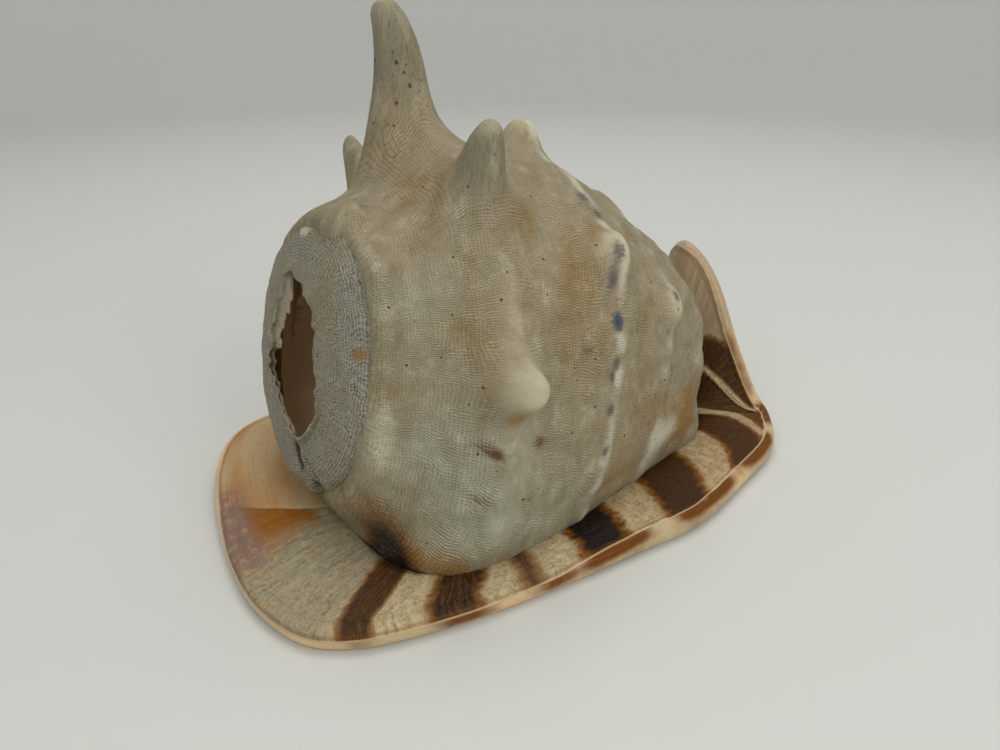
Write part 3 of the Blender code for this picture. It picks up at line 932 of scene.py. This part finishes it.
def teeth_relief(x, side, reach):
    """Teeth of the lip and folds of the shield, at a distance from the edge of the slot."""
    first, last, spacing, height, length = LIP_TEETH
    fade = np.clip((x - first) / 8, 0, 1) * np.clip((last - x) / 8, 0, 1) * (side < 0)
    crown = (0.5 + 0.5 * np.cos(2 * math.pi * x / spacing)) ** 1.5
    teeth = height * fade * crown * np.exp(-((reach / length) ** 4))
    first, last, spacing, height, length = SHIELD_FOLDS
    fade = np.clip((x - first) / 8, 0, 1) * np.clip((last - x) / 8, 0, 1) * (side > 0)
    crown = 0.5 + 0.5 * np.cos(2 * math.pi * (x + 1.5 * np.sin(x * 0.21)) / spacing)
    return teeth + height * fade * crown * np.exp(-((reach / length) ** 2))


def top_rings(rim, crease, roll, out, top):
    """Rings of points from under the body over the lip strip and round the rolled rim, each with its share of
    the strip and of the way round the rim."""
    rings = []
    flat_out = out[:, :2] / np.maximum(np.linalg.norm(out[:, :2], axis=1), 0.3)[:, None]
    inward = np.column_stack([flat_out, np.zeros(len(out))])
    for back, drop in ((8.0, 2.2), (4.0, 1.6), (1.5, 1.0)):
        points = crease - inward * back
        points[:, 2] -= drop
        rings.append((points, 0.0, 0.0))
    turns = np.radians(np.linspace(ROLL_TURN, -ROLL_TURN, ROLL_RINGS + 1))
    rolled = [rim + roll * (math.cos(turn) * out + math.sin(turn) * top) for turn in turns]
    half = (crease + rim) / 2 + top * roll * 0.75
    for t in np.linspace(0.0, 1.0, STRIP_RINGS):
        points = crease * (1 - t) * (1 - 2 * t) + half * 4 * t * (1 - t) + rolled[0] * t * (2 * t - 1)
        dip = -0.7 * math.exp(-((t / 0.05) ** 2)) + 0.2 * math.exp(-(((t - 0.97) / 0.04) ** 2))
        rings.append((points + top * dip, t, 0.0))
    for number, points in enumerate(rolled[1:], start=1):
        rings.append((points, 1.0, number / ROLL_RINGS))
    inner = crease - inward * 9.5
    inner[:, 2] = FLOOR_TOP - 0.6
    return rings, inner


def under_rings(last, edge, side, inner):
    """Rings on from the rim: 2 for the underside, 3 for the wall of the slot and 4 for the room's floor."""
    rings = []
    slot_low = np.column_stack([edge, np.full(len(edge), FLOOR_UNDER + 0.6)])
    for t in np.linspace(0.0, 1.0, UNDER_RINGS + 1)[1:]:
        points = last * (1 - t) + slot_low * t
        rise = (FLOOR_UNDER + 1.8 * math.sin(math.pi * t) ** 0.7) * min(1.0, t * 6)
        points[:, 2] = np.maximum(last[:, 2] * (1 - t) ** 3, 0) + rise
        reach = np.linalg.norm(points[:, :2] - edge, axis=1)
        points[:, 2] -= teeth_relief(points[:, 0], side, reach)
        rings.append((points, 2.0, t))
    lower = rings[-1][0]
    slot_high = np.column_stack([edge, np.full(len(edge), FLOOR_TOP)])
    middle = curve(np.array(SLOT)[:, 0], np.array(SLOT, float)[:, 1], edge[:, 0])
    pull = edge - np.column_stack([edge[:, 0], middle])
    pull = pull / np.maximum(np.linalg.norm(pull, axis=1), 1.0)[:, None]
    for t in np.linspace(0.0, 1.0, WALL_RINGS + 1)[1:]:
        points = lower * (1 - t) + slot_high * t
        bulge = teeth_relief(points[:, 0], side, np.zeros(len(points))) * math.sin(math.pi * t) * 0.7
        points[:, :2] -= pull * (bulge + 1.2 * math.sin(math.pi * t))[:, None]
        rings.append((points, 3.0, t))
    return rings + [(slot_high * (1 - t) + inner * t, 4.0, t) for t in (0.35, 0.7, 1.0)]


def lips_piece(material):
    """Lip strip, rolled rim, underside, slot wall and floor of the room, as one closed ring."""
    rim, crease, roll, out, top, at = stations_around()
    edge, side = slot_edge(crease)
    rings, inner = top_rings(rim, crease, roll, out, top)
    rings += under_rings(rings[-1][0], edge, side, inner)
    grid = np.array([points for points, _, _ in rings])
    strip, ways = (np.array([np.full(len(at), ring[k]) for ring in rings]) for k in (1, 2))
    stations = np.repeat(at[None], len(grid), axis=0)
    circle = np.stack([np.cos(at * 2 * math.pi / len(RIM)), np.sin(at * 2 * math.pi / len(RIM))], axis=-1)
    circle = np.repeat(circle[None] * LIP_TURN_RADIUS, len(grid), axis=0)
    share = np.clip(strip, 0, 1)
    over = share * 30.0 + np.where(strip <= 1.0, ways * 21.0, 60.0 + ways * 50.0)
    lip_at = np.concatenate([circle, over[..., None]], axis=-1)
    plate, orange, mauve, flange = plate_masks(stations, share)
    bar, dark = bar_field(stations, share)
    ridge = ridge_distance(stations, share) / RIDGE_WIDTH
    rough = 1.0 - 0.75 * ramp(plate, -1.0, 1.0)
    radial = lip_at * np.array((1.0, 1.0, 0.16))
    wrinkles = rough * (0.42 * lattice_noise(radial, 2.6, 21) + 0.16 * lattice_noise(grid, 1.9, 22))
    wrinkles += 0.6 * lattice_noise(grid, 13.0, 23) - 0.8 * ramp(plate, -1.6, -0.2) * ramp(plate, 1.2, -0.2)
    wrinkles += RIDGE_HEIGHT * np.exp(-(ridge**2))
    wrinkles *= ramp(strip, 0.0, 0.06) * ramp(ways, 0.3, 0.1) * ((strip <= 1.0) & (ways < 0.5))
    grid = grid + top[None] * wrinkles[..., None]
    grid[..., 2] = np.maximum(grid[..., 2], LOWEST)
    slot_gap = np.linalg.norm(grid[..., :2] - edge[None], axis=-1)
    past_gloss = ways - np.interp(at, *np.array(GLOSS_AT).T)[None]
    masks = {
        "lip_at": lip_at,
        "gloss": np.where(strip > 1.0, 1.0, past_gloss),
        "under": np.where(strip >= 2.0, 1.0, 0.0),
        "bar": bar,
        "dark": dark,
        "patch": patch_field(stations) * (1.0 - 0.75 * ramp(past_gloss, 0.10, 0.3)),
        "plate": plate,
        "orange": orange,
        "mauve": mauve,
        "flange": flange,
        "ridge": np.exp(-((ridge / 1.2) ** 2)),
        "fin": ramp(stations, 11.6, 12.6) * ramp(stations, 19.0, 17.5),
        "teeth": teeth_relief(grid[..., 0], np.repeat(side[None], len(grid), axis=0), slot_gap),
        "slot_gap": slot_gap,
        "crease": distance_to(grid, crease_line()),
    }
    return turn_faces(grid_piece("shell_lips", grid, masks, True, True, material))


def body_net(skin, at, place, horn, broken, grain):
    """Growth ridges crossed by cords, grooves up the long horns, and both worn smooth in places."""
    sway = skin.sway(at, (0.06, 0.03, 0.05), 11.0)
    wander = skin.sway(at, (0.15, 0.12, 0.2), 2.8, 3.0)
    jitter = skin.sway(at, (0.5, 0.6, 0.2), 0.9)
    growth = skin.waves(skin.part(at, 1), 0.95, skin.plus(sway, skin.plus(wander, jitter)))
    cords = skin.waves(skin.part(at, 0), 1.15, skin.plus(wander, skin.times(jitter, 1.2)))
    netted = skin.scaled(skin.step(skin.noise(at, (0.06, 0.06, 0.05)), 0.38, 0.6), 0.36, 0.1)
    net = skin.times(skin.mix_value(netted, growth, cords), skin.plus(0.2, broken))
    net = skin.scaled(net, 0.82, skin.times(grain, 0.4))
    flow = skin.noise(place, (1.9, 1.9, 0.16), 4.0, 0.62)
    grooves = skin.scaled(flow, 1.3, skin.scaled(grain, 0.5, -0.46))
    rubbed = skin.scaled(skin.noise(at, (0.07, 0.05, 0.05), 4.0, 0.6), 2.2, -1.0)
    worn = skin.plus(skin.plus(skin.mask("worn"), skin.mask("knob")), rubbed)
    smooth = skin.times(skin.step(worn, 0.1, 1.1), 0.85)
    return skin.mix_value(smooth, skin.mix_value(horn, net, grooves), 0.5)


def body_ground(skin, at, place, horn, broken, lines):
    """Greige with cool, dark, ochre and pale areas, grey horns with bleached streaks, and pale knobs."""
    clouds = skin.noise(at, (0.03, 0.026, 0.03), 4.0)
    streaks = skin.noise(at, (0.08, 0.04, 0.05), 5.0, 0.62)
    mottled = skin.noise(at, (0.16, 0.12, 0.1), 4.0, 0.65)
    cool = skin.plus(skin.mask("cool"), skin.scaled(clouds, 2.4, -1.2))
    base = skin.mix(skin.step(cool, 0.0, 1.3), GREIGE, GREIGE_COOL)
    base = skin.stain(base, HORN_PALE, mottled, 0.5, 0.7, 0.28)
    base = skin.stain(base, GREIGE_DARK, mottled, 0.5, 0.3, 0.35)
    base = skin.stain(base, GREIGE_DARK, streaks, 0.45, 0.72, 0.6)
    ochre = skin.plus(skin.mask("ochre"), skin.scaled(streaks, 2.0, -1.0))
    base = skin.stain(base, OCHRE, skin.plus(ochre, skin.scaled(lines, -0.8, 0.35)), 0.1, 1.2, 0.75)
    upper = skin.scaled(clouds, 1.2, skin.plus(skin.mask("horn"), -0.6))
    base = skin.stain(base, HORN_GREY, upper, 0.1, 0.7, 0.85)
    bleached = skin.times(skin.step(skin.noise(place, (0.09, 0.09, 0.03), 3.0, 0.6), 0.44, 0.66), horn)
    bleached = skin.most(skin.times(bleached, 0.6), skin.step(skin.mask("horn"), 0.86, 1.1))
    base = skin.mix(skin.times(bleached, 0.55), base, HORN_PALE)
    pale = skin.plus(skin.mask("pale"), skin.scaled(broken, 0.9, -0.45))
    base = skin.stain(base, WHITE, pale, 0.25, 1.1, 0.8)
    tip = skin.plus(skin.mask("knob"), skin.scaled(broken, 0.5, -0.25))
    return skin.stain(base, HORN_PALE, tip, 0.3, 1.25, 0.62)


def body_stains(skin, base, broken, lines):
    """Rust spots, purple and blue blotches, and brown by the lips, with edges ragged along the net."""
    fringe = skin.scaled(lines, 0.9, -0.4)
    rust = skin.minus(skin.mask("rust"), skin.scaled(broken, 0.9, skin.times(fringe, 0.6)))
    base = skin.stain(base, RUST, rust, -0.3, 0.8, 0.75)
    base = skin.stain(base, BROWN, rust, 0.3, 1.1, 0.5)
    ragged = skin.scaled(broken, 1.3, -0.65)
    base = skin.stain(base, PURPLE, skin.plus(skin.mask("purple"), ragged), 0.1, 1.0, 0.8)
    base = skin.stain(base, BLUE, skin.plus(skin.mask("blue"), ragged), 0.3, 0.9, 0.75)
    brown = skin.minus(skin.mask("brown"), skin.times(fringe, 0.9))
    base = skin.stain(base, BROWN_ORANGE, brown, 0.15, 0.9, 0.8)
    return skin.mix(skin.step(brown, 0.55, 1.5), base, BROWN)


def body_material():
    """Ground, stains, the net of lines, specks and pits, and painted shade along the crease at the lips."""
    skin = Skin("shell_body")
    at, place = skin.at("skin_at"), skin.millimetres()
    horn = skin.step(skin.mask("horn"), 0.1, 0.45)
    broken = skin.noise(at, (0.4, 0.8, 0.5), 4.0, 0.6)
    grain = skin.noise(place, 1.5, 4.0, 0.65)
    lines = body_net(skin, at, place, horn, broken, grain)
    base = body_ground(skin, at, place, horn, broken, lines)
    base = body_stains(skin, base, broken, lines)
    base = skin.stain(base, LINE_DARK, lines, 0.46, 0.2, skin.scaled(horn, -0.02, 0.56))
    base = skin.stain(base, HORN_PALE, lines, 0.62, 0.95, 0.4)
    ragged = skin.scaled(grain, 0.16, -0.08)
    specks = skin.step(skin.plus(skin.cells(place, 0.14), ragged), 0.075, 0.045)
    holes = skin.step(skin.plus(skin.cells(place, (0.19, 0.19, 0.15)), ragged), 0.145, 0.1)
    pits = skin.most(specks, skin.times(holes, skin.step(skin.mask("pitted"), 0.15, 0.4)))
    base = skin.mix(skin.times(pits, 0.75), base, SHADE_AND_PIT_DARK)
    # Painted shade: darker close to the crease where the body meets the lips
    base = skin.stain(base, SHADE_AND_PIT_DARK, skin.mask("crease"), 1.5, 0.3, 0.85)
    return skin.finish(base, skin.scaled(broken, 0.2, 0.5), skin.minus(skin.times(lines, 0.9), pits), 0.36)


def spire_net(skin, at, broken):
    """Growth ridges crossed by cords."""
    sway = skin.sway(at, (0.07, 0.07, 0.09), 9.0)
    wander = skin.sway(at, (0.2, 0.2, 0.25), 2.6, 3.0)
    jitter = skin.sway(at, 0.8, 1.1)
    growth = skin.waves(skin.mask("around"), 1.0, skin.plus(sway, skin.plus(wander, jitter)))
    cords = skin.waves(skin.part(at, 2), 1.25, skin.plus(wander, jitter))
    net = skin.times(skin.plus(growth, 0.35), skin.plus(cords, 0.35))
    grain = skin.times(skin.noise(at, 2.4, 3.0, 0.6), 0.3)
    return skin.scaled(net, 0.45, skin.scaled(broken, 0.55, grain))


def spire_inside(skin, at):
    """Pale at the edge of the hole, brown in its depth, and pale again low down in it as painted light that
    falls in through the hole.
    """
    inside = skin.mix(skin.step(skin.mask("depth"), 1.5, 9.0), INSIDE_PALE, INSIDE_DARK)
    inside = skin.stain(inside, BROWN_ORANGE, skin.noise(at, (0.03, 0.03, 0.02), 3.0), 0.3, 0.7, 0.3)
    # Painted light: paler low down inside the hole, where light falls in through it
    return skin.stain(inside, INSIDE_PALE, skin.part(skin.millimetres(), 2), 105.0, 65.0, 0.9)


def spire_material():
    """Grey netted band outside the hole, brown and glossy inside it, with painted shade in the hollows below
    the hole and on the outside buried under the body.
    """
    skin = Skin("shell_spire")
    at, outside = skin.at("skin_at"), skin.mask("outside")
    broken = skin.noise(at, 0.5, 4.0, 0.6)
    net = spire_net(skin, at, broken)
    base = skin.mix(skin.step(skin.noise(at, (0.05, 0.05, 0.06), 4.0), 0.35, 0.7), SPIRE_GREY, GREIGE)
    base = skin.stain(base, SPIRE_DARK, net, 0.78, 0.38, 0.85)
    base = skin.stain(base, SPIRE_PALE, net, 0.85, 1.2, 0.5)
    ragged = skin.scaled(broken, 0.6, -0.3)
    base = skin.stain(base, OCHRE, skin.plus(skin.mask("ochre"), ragged), 0.3, 0.9, 0.8)
    base = skin.stain(base, WHITE, skin.plus(skin.mask("chip"), ragged), 0.4, 0.7, 0.8)
    # Painted shade in the hollows below the hole
    base = skin.stain(base, SHADE_AND_PIT_DARK, skin.mask("pocket"), 0.25, 0.85, 0.9)
    edge = skin.step(outside, 0.3, 0.6)
    colour = skin.mix(edge, spire_inside(skin, at), base)
    colour = skin.stain(colour, SPIRE_PALE, skin.size(skin.minus(outside, 0.7)), 0.25, 0.1, 0.7)
    # Painted shade: the whorl's outside buried under the body goes dark
    colour = skin.mix(skin.mask("buried_shade"), colour, INSIDE_DARK)
    return skin.finish(colour, skin.scaled(edge, 0.42, 0.2), skin.times(net, edge), 0.4)


def room_material():
    """Pale glossy wall with brown streaks."""
    skin = Skin("shell_room")
    at = skin.at("skin_at")
    clouds = skin.noise(at, 0.03, 4.0)
    streaks = skin.noise(at, (0.02, 0.25, 0.05), 4.0)
    colour = skin.mix(skin.step(clouds, 0.3, 0.7), INSIDE_PALE, PEACH)
    colour = skin.stain(colour, BROWN_ORANGE, streaks, 0.4, 0.7, 0.6)
    return skin.finish(colour, skin.scaled(clouds, 0.2, 0.15), streaks, 0.2)


def strip_colours(skin, broken, grain, fine, lines):
    """Creamy strip with dark lines, the stained flange, the orange beyond the plate, and the fin."""
    base = skin.mix(skin.step(broken, 0.35, 0.65), BEIGE, CREAM)
    base = skin.stain(base, HORN_PALE, grain, 0.5, 0.68, 0.3)
    base = skin.stain(base, FLANGE_GREY, broken, 0.3, 0.6, skin.mask("flange"))
    base = skin.stain(base, LINE_DARK, lines, 0.46, 0.24, 0.5)
    orange = skin.mask("orange")
    patchy = skin.times(orange, skin.step(skin.scaled(grain, 0.3, broken), 0.38, 0.7))
    base = skin.mix(skin.plus(skin.times(orange, 0.7), skin.times(patchy, 0.3)), base, PLATE_ORANGE)
    return skin.mix(skin.mask("fin"), base, skin.stain(FIN_BEIGE, FLANGE_GREY, fine, 0.4, 0.7, 0.3))


def plate_colours(skin, at, broken, fine):
    """Smooth tan and cream with brown growth lines and worn grey patches."""
    clouds = skin.noise(at, (0.022, 0.022, 0.09), 4.0)
    tan = skin.mix(skin.step(clouds, 0.35, 0.65), PLATE_TAN, PLATE_CREAM)
    tan = skin.stain(tan, PLATE_BROWN, fine, 0.5, 0.78, 0.3)
    return skin.stain(tan, FLANGE_GREY, broken, 0.5, 0.68, 0.4)


def barred(skin, base, wobble, grain, radial, fine):
    """Lays the dark bars on, singed at their edges, with grain and orange streaks inside them."""
    darkness = skin.mask("dark")
    bar = skin.plus(skin.mask("bar"), skin.scaled(radial, 2.6, skin.plus(wobble, -1.3)))
    dark = skin.stain(BROWN, BROWN_GRAIN, grain, 0.48, 0.62, 0.5)
    dark = skin.stain(dark, BROWN_ORANGE, skin.scaled(grain, 0.9, skin.times(radial, 0.6)), 0.86, 1.1, 0.3)
    less_dark = skin.times(skin.step(darkness, 0.98, 0.9), 0.45)
    dark = skin.stain(dark, BROWN_ORANGE, skin.scaled(grain, 0.4, radial), 0.62, 0.86, less_dark)
    singed = skin.scaled(grain, 3.0, skin.plus(bar, -1.5))
    base = skin.stain(base, BROWN_ORANGE, singed, -2.8, -0.2, darkness)
    base = skin.stain(base, dark, bar, -0.8, 2.4, darkness)
    return skin.stain(base, BEIGE, fine, 0.6, 0.74, skin.times(skin.step(bar, 0.0, 2.0), 0.1))


def rimmed(skin, base, at, broken, gloss_way, gloss):
    """Lays the glossy rolled rim on, warm with orange patches, with a pale line and a shadow at its start."""
    rim = skin.mix(skin.step(skin.noise(at, (0.03, 0.03, 0.08)), 0.4, 0.65), CREAM, PEACH)
    rim = skin.mix(skin.times(skin.mask("fin"), 0.9), rim, FIN_BEIGE)
    patch = skin.scaled(broken, 0.5, skin.plus(skin.mask("patch"), -0.25))
    rim = skin.mix(skin.step(patch, -0.15, 0.75), rim, RIM_ORANGE)
    base = skin.mix(gloss, base, rim)
    base = skin.stain(base, PEACH, skin.size(gloss_way), 0.03, 0.008, 0.6)
    return skin.stain(base, BROWN_ORANGE, skin.size(skin.plus(gloss_way, 0.06)), 0.05, 0.01, 0.35)


def shield_colours(skin, at, broken):
    """Peach and cream underside, brown towards the slot, with pale teeth and folds."""
    shield = skin.mix(skin.step(skin.noise(at, (0.02, 0.02, 0.05), 3.0), 0.35, 0.65), PEACH, CREAM)
    reach = skin.plus(skin.mask("slot_gap"), skin.scaled(broken, 10.0, -5.0))
    shield = skin.stain(shield, BROWN_ORANGE, reach, 30.0, 2.0, 0.8)
    return skin.stain(shield, HORN_PALE, skin.mask("teeth"), 0.1, 1.3, 0.85)


def lips_material():
    """Creamy beaded strip with dark bars, the smooth plate, the glossy rim and the shield below, with painted
    shade along the crease at the body.
    """
    skin = Skin("shell_lips")
    at, gloss_way = skin.at("lip_at"), skin.mask("gloss")
    broken = skin.noise(at, 0.3, 5.0, 0.6)
    grain = skin.noise(at, 1.1, 3.0, 0.65)
    radial = skin.noise(at, (0.85, 0.85, 0.1), 3.0, 0.6)
    fine = skin.noise(at, (0.02, 0.02, 1.1), 4.0, 0.6)
    beads = skin.cells(at, (0.62, 0.62, 0.75))
    lines = skin.scaled(radial, 0.6, skin.scaled(grain, 0.5, skin.times(beads, -0.25)))
    wobble = skin.scaled(broken, 7.0, -3.5)
    base = strip_colours(skin, broken, grain, fine, lines)
    plate = skin.step(skin.scaled(wobble, 0.12, skin.mask("plate")), -0.3, 0.3)
    base = skin.mix(plate, base, plate_colours(skin, at, broken, fine))
    mauve = skin.times(skin.mask("mauve"), 0.85)
    base = skin.stain(base, MAUVE, skin.scaled(fine, 0.6, broken), 0.5, 0.9, mauve)
    base = barred(skin, base, wobble, grain, radial, fine)
    base = skin.stain(base, CREAM, skin.mask("ridge"), 0.25, 0.8, 0.85)
    gloss = skin.step(gloss_way, -0.008, 0.03)
    base = rimmed(skin, base, at, broken, gloss_way, gloss)
    base = skin.mix(skin.mask("under"), base, shield_colours(skin, at, broken))
    # Painted shade along the crease where the lips meet the body
    base = skin.stain(base, SHADE_AND_PIT_DARK, skin.mask("crease"), 1.4, 0.3, 0.85)
    matt = skin.minus(1.0, gloss)
    relief = skin.scaled(skin.most(plate, skin.mask("fin")), -0.7, 1.0)
    height = skin.plus(skin.times(lines, relief), skin.times(fine, 0.2))
    height = skin.times(height, skin.scaled(matt, 0.96, 0.04))
    skin.put(skin.surface.inputs["Coat Weight"], skin.times(gloss, 0.12))
    skin.surface.inputs["Coat Roughness"].default_value = 0.14
    return skin.finish(base, skin.scaled(matt, 0.36, 0.2), height, 0.42)


def plain_floor():
    """Pale round table that sweeps up into a low backdrop on every side, with painted shade that darkens it
    with distance and towards -X.
    """
    skin = Skin("pale_table")
    place = skin.node("ShaderNodeNewGeometry", {}).outputs["Position"]
    far = skin.node("ShaderNodeVectorMath", {0: place}, operation="LENGTH").outputs["Value"]
    # Painted shade: darker from half a metre out towards the backdrop
    tone = skin.mix(skin.step(far, 0.5, 1.5), TABLE_PALE, TABLE_SHADE)
    side = skin.scaled(skin.part(place, 0), -0.55, skin.times(skin.part(place, 1), 0.2))
    # Painted shade: darker towards -X
    tone = skin.stain(tone, TABLE_SHADE, side, -0.05, 0.75, 0.45)
    cloth = skin.noise(place, 60.0, 3.0)
    skin.put(skin.surface.inputs["Base Color"], tone)
    skin.put(skin.surface.inputs["Roughness"], skin.scaled(cloth, 0.2, 0.45))
    profile = [(0.0, 0.0), (400.0, 0.0), (TABLE_FLAT, 0.0)]
    for turn in np.radians(np.linspace(0.0, 90.0, 13)[1:]):
        profile.append((TABLE_FLAT + TABLE_SWEEP * math.sin(turn), TABLE_SWEEP * (1 - math.cos(turn))))
    profile.append((TABLE_FLAT + TABLE_SWEEP, TABLE_WALL))
    sides = 96
    turns = np.arange(sides) * 2 * math.pi / sides
    points = []
    for radius, height in profile[1:]:
        ring = [(radius * math.cos(turn), radius * math.sin(turn), height) for turn in turns]
        points += [(x * MM, y * MM, z * MM) for x, y, z in ring]
    points.append((0.0, 0.0, 0.0))
    faces = [(len(points) - 1, k, (k + 1) % sides) for k in range(sides)]
    for level in range(len(profile) - 2):
        low, high = level * sides, (level + 1) * sides
        faces += [(low + k, high + k, high + (k + 1) % sides, low + (k + 1) % sides) for k in range(sides)]
    mesh = bpy.data.meshes.new("table")
    mesh.from_pydata(points, [], faces)
    mesh.shade_smooth()
    mesh.materials.append(skin.material)
    table = bpy.data.objects.new("table", mesh)
    bpy.context.scene.collection.objects.link(table)


def area_light(name, place, target, size, power, colour):
    """A square soft light that looks from a place to a target, in metres and watts."""
    light = bpy.data.lights.new(name, "AREA")
    light.shape = "SQUARE"
    light.size = size
    light.energy = power
    light.color = colour
    lamp = bpy.data.objects.new(name, light)
    lamp.location = place
    lamp.rotation_euler = (Vector(target) - Vector(place)).to_track_quat("-Z", "Y").to_euler()
    bpy.context.scene.collection.objects.link(lamp)


def studio():
    """A pale room with a soft light from the ceiling, the window side and the front."""
    scene = bpy.context.scene
    scene.view_settings.view_transform = "Standard"
    world = bpy.data.worlds.new("soft room")
    scene.world = world
    world.use_nodes = True
    background = world.node_tree.nodes["Background"]
    background.inputs["Color"].default_value = (0.96, 0.98, 1.0, 1.0)
    background.inputs["Strength"].default_value = 0.46
    area_light("ceiling", (0.35, 0.3, 1.7), (0.0, 0.05, 0.0), 1.3, 10.0, (1.0, 0.98, 0.94))
    area_light("window", (-0.9, -0.5, 1.0), (0.0, 0.0, 0.05), 0.7, 2.5, (1.0, 1.0, 1.0))
    area_light("front", (0.25, -1.1, 0.8), (0.0, 0.0, 0.05), 0.7, 4.5, (1.0, 0.99, 0.97))


def photo_camera():
    """The camera of the photograph."""
    yaw, down = math.radians(CAMERA_YAW), math.radians(CAMERA_DOWN)
    ahead = Vector((math.sin(yaw) * math.cos(down), math.cos(yaw) * math.cos(down), -math.sin(down)))
    right = Vector((math.cos(yaw), -math.sin(yaw), 0.0))
    up = right.cross(ahead)
    lens = bpy.data.cameras.new("photo")
    lens.sensor_width = 36.0
    lens.lens = CAMERA_LENS
    lens.clip_start = 0.01
    camera = bpy.data.objects.new("photo", lens)
    turned = Matrix((right, up, -ahead)).transposed().to_4x4()
    camera.matrix_world = Matrix.Translation(Vector((np.array(CAMERA_AT) + SHIFT) * MM)) @ turned
    bpy.context.scene.collection.objects.link(camera)
    bpy.context.scene.camera = camera


photo_camera()
pieces = (
    body_piece(body_material()),
    lips_piece(lips_material()),
    whorl_piece(spire_material()),
    room_piece(room_material()),
)
for piece in pieces:
    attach(piece, "root")
    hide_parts("shell")
plain_floor()
studio()
